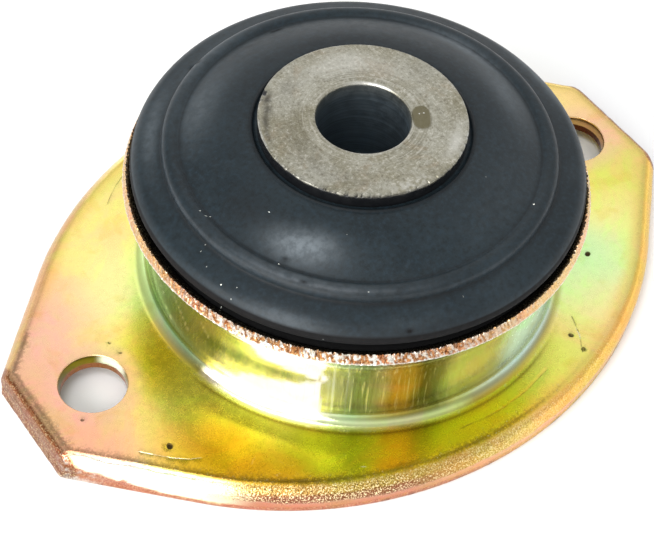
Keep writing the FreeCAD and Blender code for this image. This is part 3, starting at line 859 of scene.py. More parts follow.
    # painted highlight: a white band along the rolled edge at the front left
    gl = smooth(-0.08, -0.25, zl) * (1 - side_w) * smooth(-32, -39, rx) * front * smooth(1.7, 2.3, rx + END_NEG)
    gloss[ri] = np.maximum(gloss[ri], gl)
    # painted shade: the inside of the collar near its top, in the gap under the rubber, is near black
    ins = names["inside"]
    inner_lip_shade = smooth(11.0, 13.0, z[ins])
    tint[ins] = tint[ins] * (1 - inner_lip_shade)[:, None] + np.array(lin(0.06, 0.06, 0.06))[None] * inner_lip_shade[:, None]
    dark[marks["ids"]] = np.maximum(dark[marks["ids"]], marks["dark"])
    bare_and_glints[marks["ids"]] = np.maximum(bare_and_glints[marks["ids"]], marks["bare_and_glints"])
    # inside of the hole walls
    hi = names["holes"]
    hz = z[hi]
    wallh = smooth(-0.03, -0.2, hz)
    hd = np.degrees(np.arctan2(y[hi], x[hi] - np.sign(x[hi]) * HOLE_X)) % 360
    lit = (smooth(-18, 10, (hd + 180) % 360 - 180) * smooth(60, 40, (hd + 180) % 360 - 180))[:, None]
    hc = np.array(lin(0.56, 0.50, 0.14))[None] * (1 - lit) + np.array(lin(1.0, 1.0, 0.97))[None] * lit
    frac = smooth(-1.30, -1.42, hz)[:, None]
    hc = hc * (1 - 0.45 * np.exp(-(((hd - 140 + 180) % 360 - 180) / 35.0) ** 2))[:, None]
    hc = hc * (1 - frac) + np.array(lin(0.66, 0.42, 0.28))[None] * frac
    hx = np.array(lin(0.86, 0.66, 0.46))[None] * (1 - frac) + np.array(lin(0.36, 0.19, 0.10))[None] * frac
    hcol = np.where((x[hi] > 0)[:, None], hx, hc)
    gloss[hi] = np.clip(smooth(-0.03, -0.2, hz) * (hz > -1.35), 0, 1)
    tint[hi] = tint[hi] * (1 - wallh)[:, None] + hcol * wallh[:, None]
    # painted highlights: the plating is made paler and less metallic where lamps reflect in it: the lit far wall of
    # the left hole, the patch and the streaks on the collar's front left, the collar's right side and the rolled rim
    # at the front left
    painted_highlight = np.zeros(n)
    painted_highlight[hi] = lit[:, 0] * smooth(-0.03, -0.15, hz) * smooth(-1.30, -1.0, hz) * (x[hi] < 0)
    low_edge = np.interp(z[out_ids], [0.0, 1.0, 4.0, 6.6, 7.8, 9.5, 13.0], [197.5, 197.5, 203, 221, 226, 208, 205])
    wt2 = th_d[out_ids] + 1.4 * vnoise(th_d[out_ids] * 0.9, wz * 0.6, 0, 67)
    painted_highlight[out_ids] = smooth(low_edge - 1.5, low_edge + 2.5, wt2) * smooth(227.2, 225.8, wt2) * smooth(0.1, 0.3, wz)
    streaks = 0.45 * np.exp(-((wt - 230) / 3.4) ** 2) * smooth(0.1, 0.8, vnoise(wt * 2.2, 0, 0, 68)) * smooth(0.8, 1.6, wz)
    painted_highlight[out_ids] = np.maximum(painted_highlight[out_ids], streaks)
    painted_highlight[out_ids] = np.maximum(painted_highlight[out_ids], 0.75 * smooth(274, 288, wt2) * smooth(325, 308, wt2) * smooth(0.6, 2.2, wz))
    # painted reflection: a darker band across the collar's front left, between the two highlight patches
    dark_reflection_band = smooth(184, 196, wt) * smooth(224, 214, wt) * np.exp(-((wz - np.interp(wt, [184, 205, 224], [5.6, 7.0, 7.6])) / np.interp(wt, [190, 205, 224], [1.3, 1.1, 0.5])) ** 2)
    dark_reflection_band = np.clip(dark_reflection_band * (1.1 + 0.5 * vnoise(wt * 0.8, wz * 4.0, 0, 70)), 0, 1)
    painted_highlight[out_ids] *= 1 - 0.85 * dark_reflection_band
    tint[out_ids] *= (1 - np.outer(dark_reflection_band, (0.52, 0.44, 0.56)))
    shade = smooth(158, 168, wt) * smooth(192, 182, wt) * smooth(0.5, 1.2, wz)
    tint[out_ids] *= (1 - np.outer(shade * (1 - painted_highlight[out_ids]), (0.22, 0.10, 0.12)))
    # straight rub marks across the collar's left
    for t0, z0, t1, z1, ws in ((166, 7.2, 172, 4.6, 0.7), (178, 8.2, 184, 4.4, 0.7), (190, 8.8, 193, 6.6, 0.6), (172, 3.4, 176, 2.4, 0.5)):
        u = np.clip(((wt - t0) * (t1 - t0) * 0.25 + (wz - z0) * (z1 - z0)) / ((t1 - t0) ** 2 * 0.25 + (z1 - z0) ** 2), 0, 1)
        dist = np.hypot((wt - t0 - u * (t1 - t0)) * 0.5, wz - z0 - u * (z1 - z0))
        bare_and_glints[out_ids] = np.maximum(bare_and_glints[out_ids], ws * np.clip(1.3 - dist / 0.16, 0, 1))
    # painted reflection: a dark mottled line where the plate turns down into the rim, along the front and at the left
    # end
    ends = smooth(-42, -45, x)
    fw = smooth(4, -8, y)
    reach = np.maximum(np.exp(-((d - 1.85) / np.where(d > 1.85, 0.75, 0.38)) ** 2) * fw * (1 - 0.75 * smooth(-6, 16, x)),
                       0.95 * np.exp(-((d - 1.80) / np.where(d > 1.80, 0.70, 0.35)) ** 2) * ends)
    topside = (z > -0.6) & (np.hypot(x, y) > 30.5)
    bend_reflection = np.clip(reach * topside * (0.85 + 0.15 * fbm(x * 0.4, y * 0.4, 0, 69)), 0, 1)
    bend_reflection[hi] = 0
    # painted highlight: the front-left rolled edge made white, pale and less metallic
    painted_highlight[ri] = np.maximum(painted_highlight[ri], 0.9 * gl * smooth(-0.5, -0.8, zl))
    tint[ri] = tint[ri] * (1 - 0.9 * gl)[:, None] + np.array(lin(1.0, 0.99, 0.95))[None] * (0.9 * gl)[:, None]
    attrs = {"tint": tint, "dark": dark, "bare_and_glints": bare_and_glints, "grit_and_glints": grit_and_glints, "drawn": drawn, "gloss": gloss, "painted_highlight": painted_highlight, "bend_reflection": bend_reflection}
    return m.object("flange_steel", plated_material(), attrs, sharp=32)


# ---------------------------------------------------------------- rubber
def rubber_material():
    m = Mat("moulded_rubber")
    cloud = m.noise(55, 4, 0.6)
    fine = m.noise(900, 4, 0.65)
    grain = m.noise(4200, 2, 0.6)
    base = m.mix(m.band(cloud, 0.35, 0.65), lin(0.080, 0.118, 0.138), lin(0.110, 0.150, 0.170))
    blue = m.noise(1500, 3, 0.65)
    base = m.mix(m.band(blue, 0.50, 0.66, 0.0, 0.50), base, lin(0.125, 0.178, 0.212))
    base = m.mix(m.band(blue, 0.48, 0.34, 0.0, 0.50), base, lin(0.060, 0.082, 0.088))
    # painted sheen: soft pale highlights where lamps reflect in the rubber
    painted_sheen = m.attr("painted_sheen")
    bl = m.math("MULTIPLY", painted_sheen, m.band(fine, 0.34, 0.66, 0.55, 1.0))
    col = m.mix(bl, base, lin(0.40, 0.43, 0.45))
    # painted highlight along the outer edge and the ring
    edge = m.attr("painted_edge_highlight")
    col = m.mix(m.math("MULTIPLY", edge, m.band(fine, 0.35, 0.6, 0.5, 1.0)), col, lin(0.46, 0.48, 0.50))
    # dark: painted shade in creases, the groove, the undercut and darker patches, and small nicks
    col = m.mix(m.attr("dark"), col, lin(0.012, 0.012, 0.016))
    # dust
    cells = m.node("ShaderNodeTexVoronoi", {"Vector": m.co}, feature="F1")
    cells.inputs["Scale"].default_value = 480.0
    cells.inputs["Randomness"].default_value = 1.0
    pick = m.node("ShaderNodeSeparateColor", {"Color": cells.outputs["Color"]})
    speck = m.math("MULTIPLY", m.band(cells.outputs["Distance"], 0.085, 0.045), m.band(pick.outputs[0], 0.93, 0.97))
    col = m.mix(m.math("MULTIPLY", speck, 0.55), col, lin(0.70, 0.72, 0.70))
    col = m.mix(m.band(m.attr("speck"), 0.70, 0.80), col, lin(0.93, 0.94, 0.90))
    m.put(m.bsdf.inputs["Base Color"], col)
    rough = m.band(fine, 0.3, 0.7, 0.34, 0.43)
    rough = m.math("ADD", rough, m.math("MULTIPLY", painted_sheen, 0.12))
    rough = m.math("ADD", rough, m.math("MULTIPLY", m.attr("dark"), 0.35))
    m.put(m.bsdf.inputs["Roughness"], rough)
    m.bsdf.inputs["Specular IOR Level"].default_value = 0.235
    h = m.math("ADD", m.math("MULTIPLY", fine, 0.6), m.math("MULTIPLY", grain, 0.4))
    m.put(m.bsdf.inputs["Normal"], m.bump(h, 0.00003, 0.5))
    return m.m


def build_rubber():
    m = Mesh()
    nc = 576
    g_ = polar(FLARE_C, FLARE_R + 1.5, 135)
    h_ = polar(FLARE_C, FLARE_R + 2.15, 175.4)
    ec, er = (27.75, 18.66), 2.1
    side = (ec[0] + er, ec[1])
    bo = polar(ec, er, 70)
    i_ = (25.4, 4.5 - SHEET)
    against = [g_] + arc3(g_, polar(FLARE_C, FLARE_R + 1.825, 155.2), h_, 16)
    root = against[3]
    vis = [root] + line(root, (28.30, 16.30), 2) + line((28.30, 16.30), (28.35, 17.55), 3) + line((28.35, 17.55), (28.80, 18.15), 2)
    vis += line((28.80, 18.15), (29.50, 18.42), 3) + line((29.50, 18.42), (29.80, 18.56), 2) + line((29.80, 18.56), side, 1)
    vis += arc3(side, polar(ec, er, 35), bo, 12)
    vis += line(bo, (26.15, 21.28), 9) + line((26.15, 21.28), (25.80, 21.38), 2) + line((25.80, 21.38), (25.58, 22.34), 5)
    vis += arc3((25.58, 22.34), (25.20, 22.68), (24.60, 22.86), 5) + arc3((24.60, 22.86), (24.05, 22.84), (23.60, 22.62), 4)
    vis += line((23.60, 22.62), (23.45, 22.5), 1) + arc3((23.45, 22.5), (19.35, 24.28), (14.75, 25.28), 26)
    vis += line((14.75, 25.28), (14.60, 25.16), 1) + line((14.60, 25.16), (14.42, 25.34), 2) + line((14.42, 25.34), (14.15, 25.34), 2)
    vis += line((14.15, 25.34), (13.95, 24.95), 3) + line((13.95, 24.95), (13.5, 24.95), 2)
    vis = soften(vis, 1)
    vis[0], vis[-1] = root, (13.5, 24.95)
    rest = line((13.5, 24.95), (13.5, -1.6), 10) + line((13.5, -1.6), (15.2, -1.6), 4) + arc3((15.2, -1.6), (20.0, 1.9), i_, 16)
    inner = against[4::2] + arc3(h_, (25.60, 6.0), i_, 6)
    rest += list(reversed(inner[:-1]))
    prof = [tuple(p) for p in vis] + rest
    # a section that turns clockwise, seen with r to the right and z up, needs the other order here
    rows = []
    a = np.arange(nc) * TAU / nc
    for k, (r, z) in enumerate(prof):
        rr = np.full(nc, r)
        zz = np.full(nc, z + ZT)
        if 12 < k < len(vis) - 3:
            zz = zz + 0.020 * vnoise(np.cos(a) * r * 0.13, np.sin(a) * r * 0.13, 0, 101)
            if z < 20.9:
                rr = rr + 0.03 * vnoise(np.cos(a) * 5, np.sin(a) * 5, 0, 102) - 0.03
        rows.append(m.add(np.stack([rr * np.cos(a), rr * np.sin(a), zz], 1)))
    nv = len(vis)
    for p, q in zip(rows, rows[1:] + rows[:1]):
        m.bridge(p, q)
    P = m.points()
    # small nicks
    deg = np.degrees(np.arctan2(P[:, 1], P[:, 0])) % 360
    r, z = np.hypot(P[:, 0], P[:, 1]), P[:, 2] - ZT
    visible = np.zeros(len(P), bool)
    visible[: nv * nc] = True
    n = len(P)
    painted_sheen, painted_edge_highlight, dark, speck = (np.zeros(n) for _ in range(4))

    def spot(t, rad, st, sr):
        """A soft spot at angle t and radius rad, in millimetres along and across."""
        dt = ((deg - t + 180) % 360 - 180) * math.pi / 180 * rad
        return np.exp(-(dt / st) ** 2 - ((r - rad) / sr) ** 2) * visible

    def cone(t, rad, reach):
        """Falls evenly from 1 at a point to 0 at reach, in millimetres."""
        dt = ((deg - t + 180) % 360 - 180) * math.pi / 180 * rad
        return np.clip(1 - np.hypot(dt, r - rad) / reach, 0, 1) * visible

    # painted sheen: soft pale highlights where lamps reflect on the dome, the ring, the outer edge and the back
    painted_sheen += 0.90 * spot(212, 20.8, 3.6, 1.7) + 0.40 * spot(219, 19.7, 3.2, 1.7) + 0.07 * spot(203, 20.7, 2.4, 1.3)
    painted_sheen += 0.10 * spot(246, 28.6, 4.5, 1.2) + 0.30 * spot(217, 24.4, 9, 0.5)
    painted_sheen += 0.80 * spot(18, 22.6, 7.0, 1.2) + 0.42 * spot(350, 21.0, 6.0, 1.8) + 0.34 * spot(134, 21.4, 6.0, 2.2)
    painted_sheen += 0.75 * spot(358, 28.8, 6.0, 0.8) + 0.38 * spot(140, 27.3, 7.0, 1.0) + 0.40 * spot(216, 29.0, 4.5, 0.9)
    painted_sheen += 0.34 * spot(108, 25.2, 9.0, 1.2) + 0.10 * spot(300, 20.0, 11.0, 4.0)
    painted_sheen += 0.05 * smooth(0.1, 0.8, fbm(P[:, 0] * 0.11, P[:, 1] * 0.11, 0, 103)) * visible
    for t, rad, dep in ((84, 22.8, 0.16), (86, 22.7, 0.12), (114, 26.2, 0.20), (210, 22.6, 0.16), (113, 25.4, 0.10), (218, 24.9, 0.06), (246, 29.2, 0.10)):
        s = spot(t, rad, 0.45, 0.24)
        P[:, 2] -= dep * s
        dark += 0.9 * s
    for t, rad in ((178, 24.0), (192, 27.8), (202, 28.0), (198, 28.6), (209, 23.4), (236, 25.0), (228, 18.0), (262, 26.8), (300, 23.8), (196, 18.5)):
        speck = np.maximum(speck, cone(t, rad, 0.55))
    for t0, r0, t1, r1 in ((187.5, 27.0, 186.9, 25.9), (180.2, 24.1, 181.6, 23.2)):
        for u in np.linspace(0, 1, 12):
            speck = np.maximum(speck, 0.86 * cone(t0 + (t1 - t0) * u, r0 + (r1 - r0) * u, 0.45))
    # painted highlight: a pale line along the outer edge at the front left and on the ring's outer corner
    fl = np.exp(-(((deg - 216 + 180) % 360 - 180) / 30.0) ** 2)
    painted_edge_highlight += 0.55 * np.exp(-((z - 19.55) / 0.16) ** 2) * (r > 27.5) * np.exp(-(((deg - 219 + 180) % 360 - 180) / 13.0) ** 2) * visible
    painted_edge_highlight += 0.34 * np.exp(-((r - 25.0) / 0.30) ** 2) * (z > 21.9) * np.exp(-(((deg - 222 + 180) % 360 - 180) / 26.0) ** 2) * visible
    # painted shade: dark lines in the creases at the ring's foot and inner edge and in the groove by the sleeve, and
    # a darker patch over the back of the dome
    dark += 0.55 * np.exp(-((z - 21.45) / 0.16) ** 2) * (r > 25.3) * (r < 26.4) * visible
    dark += 0.45 * np.exp(-((r - 23.35) / 0.16) ** 2) * (z > 22.2) * visible
    dark += 0.60 * smooth(14.75, 14.45, r) * smooth(13.95, 14.2, r) * visible
    dark += 0.30 * np.exp(-((r - 16.2) / 1.6) ** 2) * np.exp(-(((deg - 80 + 180) % 360 - 180) / 70.0) ** 2) * visible
    painted_edge_highlight += 0.24 * np.exp(-((r - 25.62) / 0.11) ** 2) * (z > 21.9) * (0.35 + 0.65 * smooth(-0.2, 0.6, vnoise(deg * 0.08, 0, 0, 105))) * visible
    # painted shade: darker places on the left of the dome, the front of the ring and of the shoulder
    dark += 0.40 * spot(189, 19.6, 5.0, 2.6) + 0.22 * spot(183, 25.4, 4.0, 0.9)
    dark += 0.30 * spot(243, 25.5, 9.0, 0.9) + 0.34 * spot(249, 29.3, 9.0, 0.6)
    # painted shade: the outer face under the edge is near black, as in the gap above the steel lip, with a thin
    # painted highlight line left at the front left along its lower corner
    gap_z = 19.66 + 0.16 * np.exp(-(((deg - 222 + 180) % 360 - 180) / 34.0) ** 2)
    dark += 1.0 * smooth(gap_z, gap_z - 0.22, z) * (r > 26) * visible
    thread = 0.75 * np.exp(-((z - 18.50) / 0.09) ** 2) * (r > 29.3) * fl * visible
    dark = dark * (1 - thread)
    attrs = {"painted_sheen": np.clip(painted_sheen, 0, 1), "painted_edge_highlight": np.clip(painted_edge_highlight, 0, 1), "dark": np.clip(dark, 0, 1), "speck": np.clip(speck, 0, 1)}
    return m.object("rubber_moulding", rubber_material(), attrs, sharp=50, pts=P)


# ---------------------------------------------------------------- sleeve
def sleeve_material():
    m = Mat("machined_steel")
    fine = m.noise(800, 4, 0.65)
    grain = m.noise(3800, 2, 0.6)
    # turned rings: noise along the radius only
    sep = m.node("ShaderNodeSeparateXYZ", {"Vector": m.co})
    x, y, z = sep.outputs
    rad = m.math("SQRT", m.math("ADD", m.math("MULTIPLY", x, x), m.math("MULTIPLY", y, y)))
    rv = m.node("ShaderNodeCombineXYZ", {"X": rad, "Y": m.math("MULTIPLY", x, 0.02), "Z": m.math("MULTIPLY", z, 1.0)}).outputs[0]
    rings = m.noise(5200, 3, 0.75, vec=rv)
    # fine straight brush marks
    bm = m.node("ShaderNodeMapping", vector_type="POINT")
    m.put(bm.inputs["Vector"], m.co)
    bm.inputs["Rotation"].default_value = (0, 0, math.radians(28))
    bm.inputs["Scale"].default_value = (1.0, 0.07, 1.0)
    brush = m.noise(2600, 3, 0.7, vec=bm.outputs[0])
    cloud = m.noise(170, 4, 0.6, dist=0.5)
    col = m.mix(m.band(cloud, 0.34, 0.66), lin(0.535, 0.520, 0.445), lin(0.625, 0.620, 0.570))
    tan = m.noise(230, 3, 0.6, dist=0.8)
    col = m.mix(m.band(tan, 0.54, 0.70, 0.0, 0.45), col, lin(0.56, 0.50, 0.40))
    col = m.mix(m.band(brush, 0.48, 0.66, 0.0, 0.12), col, lin(0.80, 0.79, 0.75))
    col = m.mix(m.band(brush, 0.44, 0.34, 0.0, 0.12), col, lin(0.42, 0.39, 0.33))
    pepper = m.noise(2300, 3, 0.7)
    col = m.mix(m.band(pepper, 0.53, 0.68, 0.0, 0.50), col, lin(0.34, 0.31, 0.25))
    col = m.mix(m.band(pepper, 0.46, 0.32, 0.0, 0.45), col, lin(0.84, 0.83, 0.79))
    col = m.mix(m.band(grain, 0.56, 0.70, 0.0, 0.25), col, lin(0.40, 0.37, 0.30))
    col = m.mix(m.band(grain, 0.44, 0.32, 0.0, 0.25), col, lin(0.80, 0.79, 0.75))
    near = m.attr("rings")
    col = m.mix(m.math("MULTIPLY", near, m.band(rings, 0.54, 0.66, 0.0, 0.45)), col, lin(0.78, 0.77, 0.74))
    col = m.mix(m.math("MULTIPLY", near, m.band(rings, 0.46, 0.36, 0.0, 0.40)), col, lin(0.38, 0.36, 0.30))
    col = m.mix(m.band(fine, 0.60, 0.74, 0.0, 0.35), col, lin(0.44, 0.41, 0.34))
    # bright: painted highlights and glints, and lighter patches on the face
    col = m.mix(m.attr("bright"), col, lin(0.86, 0.86, 0.84))
    col = m.mix(m.math("MULTIPLY", m.attr("dark"), m.band(fine, 0.30, 0.55, 0.45, 1.0)), col, lin(0.20, 0.19, 0.18))
    oil = m.attr("oil")
    col = m.mix(m.math("MULTIPLY", m.math("MULTIPLY", oil, 0.88), m.math("SUBTRACT", 1.0, m.band(m.attr("bright"), 0.6, 0.9))), col, lin(0.37, 0.35, 0.26))
    # the rubber skin on the sleeve's side, near black as painted shade in the gap round the sleeve
    rubber_skin_and_gap_shade = m.attr("rubber_skin_and_gap_shade")
    col = m.mix(rubber_skin_and_gap_shade, col, lin(0.045, 0.05, 0.06))
    bore = m.attr("bore")
    col = m.mix(bore, col, m.mix(m.band(rings, 0.40, 0.62), lin(0.50, 0.55, 0.58), lin(0.58, 0.64, 0.68)))
    m.put(m.bsdf.inputs["Base Color"], col)
    met = m.math("SUBTRACT", 0.92, m.math("MULTIPLY", rubber_skin_and_gap_shade, 0.92))
    m.put(m.bsdf.inputs["Metallic"], met)
    rough = m.band(fine, 0.3, 0.7, 0.30, 0.44)
    rough = m.math("SUBTRACT", rough, m.math("MULTIPLY", oil, 0.24))
    m.put(m.bsdf.inputs["Roughness"], rough)
    h = m.math("ADD", m.math("MULTIPLY", brush, 0.5), m.math("MULTIPLY", fine, 0.5))
    n1 = m.bump(m.math("MULTIPLY", h, m.math("SUBTRACT", 1.0, oil)), 0.00003, 0.5)
    n2 = m.bump(m.math("MULTIPLY", rings, near), 0.00004, 0.7, n1)
    m.put(m.bsdf.inputs["Normal"], n2)
    return m.m


def build_sleeve():
    m = Mesh()
    nc = 576
    T, B, R = SLEEVE_TOP - 0.05, SLEEVE_BOT, SLEEVE_R
    prof = [(BORE_R, B + 0.35)] + line((BORE_R, B + 0.35), (BORE_R, T - 0.42), 14)
    prof += [(BORE_R + 0.02, T - 0.28), (BORE_R + 0.07, T - 0.14), (BORE_R + 0.15, T - 0.04), (BORE_R + 0.28, T)]
    prof += line((BORE_R + 0.28, T), (R - 0.30, T), 42)
    prof += [(R - 0.19, T - 0.01), (R - 0.10, T - 0.05), (R - 0.035, T - 0.12), (R, T - 0.24)]
    prof += line((R, T - 0.24), (R, T - 1.9), 8) + line((R, T - 1.9), (R, B + 0.25), 8) + [(R - 0.25, B)]
    prof += line((R - 0.25, B), (BORE_R + 0.35, B), 10)
    a = np.arange(nc) * TAU / nc
    rows = []
    for r, z in prof:
        rows.append(m.add(ring(r, z, nc)))
    rows_r = rows[::-1]
    for p, q in zip(rows, rows[1:] + rows[:1]):
        m.bridge(q, p)
    P = m.points()
    x, y, z = P.T
    r, deg = np.hypot(x, y), np.degrees(np.arctan2(y, x)) % 360
    top = z > T - 0.30
    face = (z > T - 0.03) & (r > BORE_R + 0.35) & (r < R - 0.25)

    def spot(t, rad, st, sr):
        dt = ((deg - t + 180) % 360 - 180) * math.pi / 180 * rad
        return np.exp(-(dt / st) ** 2 - ((r - rad) / sr) ** 2) * top

    # edge nicks: small bites out of the outer corner, more of them at the lower right
    load = 0.20 + 0.80 * np.exp(-(((deg - 252 + 180) % 360 - 180) / 55.0) ** 2)
    bite = np.clip(vnoise(deg * 0.75, 0, 0, 111) * 1.0 + 0.8 * vnoise(deg * 1.9, 1, 0, 112) - 0.05, 0, 1) * load
    nearedge = smooth(R - 0.9, R - 0.15, r) * (z > T - 1.0)
    down = bite * 0.20 * nearedge
    P[:, 2] -= down * smooth(T - 0.9, T - 0.2, z)
    P[:, 2] -= 0.22 * spot(128, 13.1, 0.55, 0.55) + 0.12 * spot(134, 13.2, 0.7, 0.4)
    P[:, 2] -= 0.03 * spot(201, 12.9, 1.5, 0.5)
    # face: a faint turned waviness
    P[:, 2] += np.where(face, 0.006 * np.sin(r * 9.0 + 0.6 * np.sin(np.radians(deg) * 2)), 0)
    # the film of oil next to the bore
    cx, cy = 6.42, -3.92
    ta = math.atan2(cy, cx)
    du = (x - cx) * math.cos(ta) + (y - cy) * math.sin(ta)
    dv = -(x - cx) * math.sin(ta) + (y - cy) * math.cos(ta)
    q = (np.abs(du / np.where(du > 0, 1.10, 1.35)) ** 2.3 + np.abs((dv + 0.1) / 2.05) ** 2.3) ** 0.476 + 0.07 * vnoise(x * 0.9, y * 0.9, 0, 113)
    oil = smooth(1.04, 0.92, q) * (z > T - 0.2)
    P[:, 2] += 0.045 * np.sqrt(np.clip(1 - q ** 2, 0, 1)) * face
    P[:, 2] = np.minimum(P[:, 2], SLEEVE_TOP)
    dark, bright, rubber_skin_and_gap_shade, rings_, bore = (np.zeros(len(P)) for _ in range(5))
    dark += 0.75 * spot(133, 12.6, 1.1, 0.55) + 0.6 * spot(142, 12.2, 1.2, 0.5) + 0.65 * spot(152, 12.5, 1.6, 0.45) + 0.45 * spot(163, 12.7, 1.4, 0.35)
    dark += 0.5 * nearedge * bite
    dark += 0.45 * np.exp(-((q - 1.0) / 0.07) ** 2) * (dv < 0.6) * face
    dark += 0.75 * smooth(R - 0.22, R - 0.10, r) * (z > T - 0.3) * np.exp(-(((deg - 238 + 180) % 360 - 180) / 45.0) ** 2)
    # painted highlights: a light line on the outer edge, strongest at 165 and 318 degrees, and on the bore's chamfer
    # at the back right and front
    rimlight = 0.06 + 0.4 * np.exp(-(((deg - 165 + 180) % 360 - 180) / 28.0) ** 2) + 0.5 * np.exp(-(((deg - 318 + 180) % 360 - 180) / 22.0) ** 2)
    bright += rimlight * smooth(R - 0.26, R - 0.16, r) * (z > T - 0.16) * (1 - bite) * smooth(-0.4, 0.4, vnoise(deg * 0.3, 0, 0, 114))
    bright += 0.60 * smooth(BORE_R + 0.45, BORE_R + 0.28, r) * (z > T - 0.30) * np.exp(-(((deg - 44 + 180) % 360 - 180) / 24.0) ** 2)
    bright += 0.25 * smooth(BORE_R + 0.45, BORE_R + 0.28, r) * (z > T - 0.30) * np.exp(-(((deg - 250 + 180) % 360 - 180) / 60.0) ** 2)
    bright += 0.45 * spot(262, 12.6, 2.6, 0.9) * smooth(-0.5, 0.4, vnoise(x * 2.5, y * 2.5, 0, 116)) + 0.40 * spot(306, 12.2, 3.0, 0.8)
    bright += 0.26 * spot(75, 10.5, 5.0, 2.0) + 0.18 * spot(40, 9.6, 4.5, 1.8)
    dark += 0.20 * spot(170, 9.6, 3.4, 1.6) + 0.14 * spot(226, 11.2, 3.6, 1.4)
    # two painted glints on the oil film
    for gx, gy in ((6.42, -3.28), (6.97, -3.48)):
        bright += 1.0 * np.clip(1.6 - np.hypot(x - gx, y - gy) / 0.13, 0, 1) * face
    dark += 0.22 * spot(120, 10.8, 2.6, 1.3) + 0.20 * spot(200, 10.5, 3.0, 1.6) + 0.16 * spot(15, 11.4, 2.2, 1.2)
    # the sleeve's side under the top edge: a rubber skin, painted near black as the shade in the gap under the rubber
    # lip
    rubber_skin_and_gap_shade = smooth(T - 0.10, T - 0.24, z - 0.08 * vnoise(deg * 0.5, 0, 0, 115)) * (r > R - 0.5)
    rings_ = (0.25 + 0.75 * smooth(10.2, 7.4, r)) * (z > T - 0.1)
    bore = (smooth(T - 0.25, T - 0.6, z)) * (r < BORE_R + 0.3)
    rings_ = np.maximum(rings_, bore * 0.22)
    attrs = {"dark": np.clip(dark, 0, 1), "bright": np.clip(bright, 0, 1), "rubber_skin_and_gap_shade": np.clip(rubber_skin_and_gap_shade, 0, 1), "rings": rings_, "bore": bore, "oil": oil}
    return m.object("sleeve_steel", sleeve_material(), attrs, sharp=40, pts=P)


flange = build_flange()
rubber = build_rubber()
sleeve = build_sleeve()
for o, node, slot in ((flange, "flange", "plated_steel"), (rubber, "rubber_body", "moulded_rubber"), (sleeve, "inner_sleeve", "machined_steel")):
    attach(o, "root")
    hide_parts(node)

# ---------------------------------------------------------------- floor, light, camera
fm = Mat("floor_white")
fm.bsdf.inputs["Base Color"].default_value = (0.94, 0.945, 0.95, 1)
fm.bsdf.inputs["Roughness"].default_value = 0.6
fm.bsdf.inputs["Specular IOR Level"].default_value = 0.2
me = bpy.data.meshes.new("floor")
w = 3.0
me.from_pydata([(-w, -w, 0), (w, -w, 0), (w, w, 0), (-w, w, 0)], [], [(0, 1, 2, 3)])
me.materials.append(fm.m)
floor = bpy.data.objects.new("floor", me)
bpy.context.scene.collection.objects.link(floor)
floor.location.z = -0.00002

world = bpy.data.worlds.new("studio")
bpy.context.scene.world = world
world.use_nodes = True
wn = world.node_tree
wn.nodes.clear()
wo = wn.nodes.new("ShaderNodeOutputWorld")
bg = wn.nodes.new("ShaderNodeBackground")
tc = wn.nodes.new("ShaderNodeTexCoord")
sp = wn.nodes.new("ShaderNodeSeparateXYZ")
rp = wn.nodes.new("ShaderNodeValToRGB")
wn.links.new(tc.outputs["Generated"], sp.inputs[0])
wn.links.new(sp.outputs[2], rp.inputs[0])
wn.links.new(bg.outputs[0], wo.inputs[0])
stops = [(0.0, 1.40), (0.10, 1.35), (0.24, 0.90), (0.42, 0.66), (0.60, 0.70), (0.72, 0.86), (0.81, 0.80), (0.90, 0.50), (1.0, 0.45)]
el = rp.color_ramp.elements
el[0].position, el[1].position = stops[0][0], stops[-1][0]
el[0].color = (stops[0][1],) * 3 + (1,)
el[1].color = (stops[-1][1],) * 3 + (1,)
for p, v in stops[1:-1]:
    e = el.new(p)
    e.color = (v, v, v, 1)


def lobe(az, elev, half, amount, tone):
    """Pulls the studio wall towards a tone round one direction."""
    a, e, h = math.radians(az), math.radians(elev), math.radians(half)
    dt = wn.nodes.new("ShaderNodeVectorMath")
    dt.operation = "DOT_PRODUCT"
    wn.links.new(tc.outputs["Generated"], dt.inputs[0])
    dt.inputs[1].default_value = (math.cos(a) * math.cos(e), math.sin(a) * math.cos(e), math.sin(e))
    mr = wn.nodes.new("ShaderNodeMapRange")
    mr.interpolation_type = "SMOOTHSTEP"
    wn.links.new(dt.outputs["Value"], mr.inputs["Value"])
    for k, v in (("From Min", math.cos(h)), ("From Max", math.cos(h * 0.25)), ("To Min", 0.0), ("To Max", amount)):
        mr.inputs[k].default_value = v
    mx = wn.nodes.new("ShaderNodeMix")
    mx.data_type = "RGBA"
    wn.links.new(mr.outputs[0], mx.inputs["Factor"])
    wn.links.new(lobe.last, mx.inputs[6])
    mx.inputs[7].default_value = (*tone, 1)
    lobe.last = mx.outputs[2]


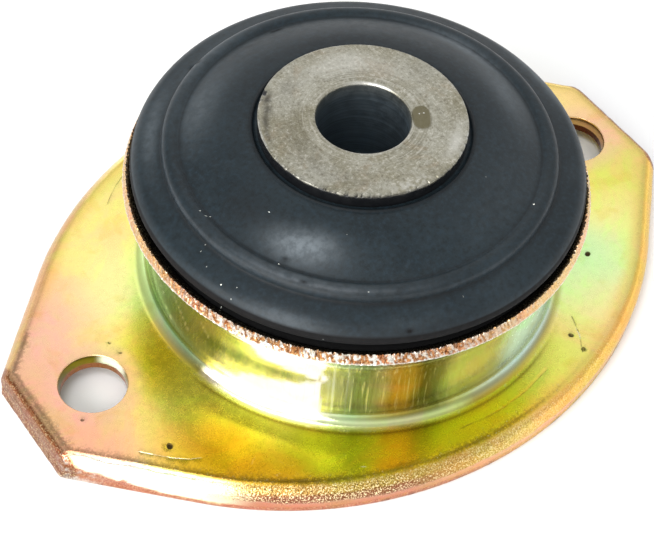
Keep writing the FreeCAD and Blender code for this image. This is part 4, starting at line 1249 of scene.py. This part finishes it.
lobe.last = rp.outputs[0]
lobe(120, 60, 42, 0.85, (0.24, 0.25, 0.26))
lobe(55, 52, 30, 0.8, (1.04, 1.03, 1.02))
wn.links.new(lobe.last, bg.inputs[0])
bg.inputs[1].default_value = 1.25


def area(name, az, elev, dist, sx, sy, power, colour=(1, 1, 1)):
    """A soft box at plan angle az and height angle elev, facing the part."""
    l = bpy.data.lights.new(name, "AREA")
    l.shape, l.size, l.size_y, l.energy, l.color = "RECTANGLE", sx, sy, power, colour
    o = bpy.data.objects.new(name, l)
    a, e = math.radians(az), math.radians(elev)
    p = Vector((math.cos(a) * math.cos(e), math.sin(a) * math.cos(e), math.sin(e)))
    o.location = p * dist + Vector((0, 0, 0.012))
    o.rotation_mode = "QUATERNION"
    o.rotation_quaternion = (-p).to_track_quat("-Z", "Y")
    o.visible_camera = False
    bpy.context.scene.collection.objects.link(o)
    return o


area("window", 196, 27, 0.62, 0.64, 0.48, 4.4, (1.0, 0.99, 0.98))
area("soft_over", 180, 73, 0.70, 0.30, 0.24, 1.2, (0.97, 0.98, 1.0))

cam = bpy.data.cameras.new("camera")
cam.sensor_fit = "HORIZONTAL"
cam.sensor_width = 36.0
cam.lens = 1717.38 / 654 * 36
cam.clip_start, cam.clip_end = 0.01, 10
camera = bpy.data.objects.new("camera", cam)
bpy.context.scene.collection.objects.link(camera)
c_az, c_el, c_roll = (math.radians(v) for v in (-38.9612, 50.7208, -4.9519))
back = Vector((math.sin(c_az) * math.cos(c_el), -math.cos(c_az) * math.cos(c_el), math.sin(c_el)))
right = (-back).cross(Vector((0, 0, 1))).normalized()
down = (-back).cross(right)
r2 = right * math.cos(c_roll) + down * math.sin(c_roll)
d2 = -right * math.sin(c_roll) + down * math.cos(c_roll)
where = back * 238.790 + r2 * -3.1765 + d2 * 2.6245 + Vector((0, 0, ZT))
camera.matrix_world = Matrix((
    (r2.x, -d2.x, back.x, where.x * S),
    (r2.y, -d2.y, back.y, where.y * S),
    (r2.z, -d2.z, back.z, where.z * S),
    (0, 0, 0, 1)))
bpy.context.scene.camera = camera
bpy.context.scene.view_settings.view_transform = "Standard"
bpy.context.scene.view_settings.look = "None"
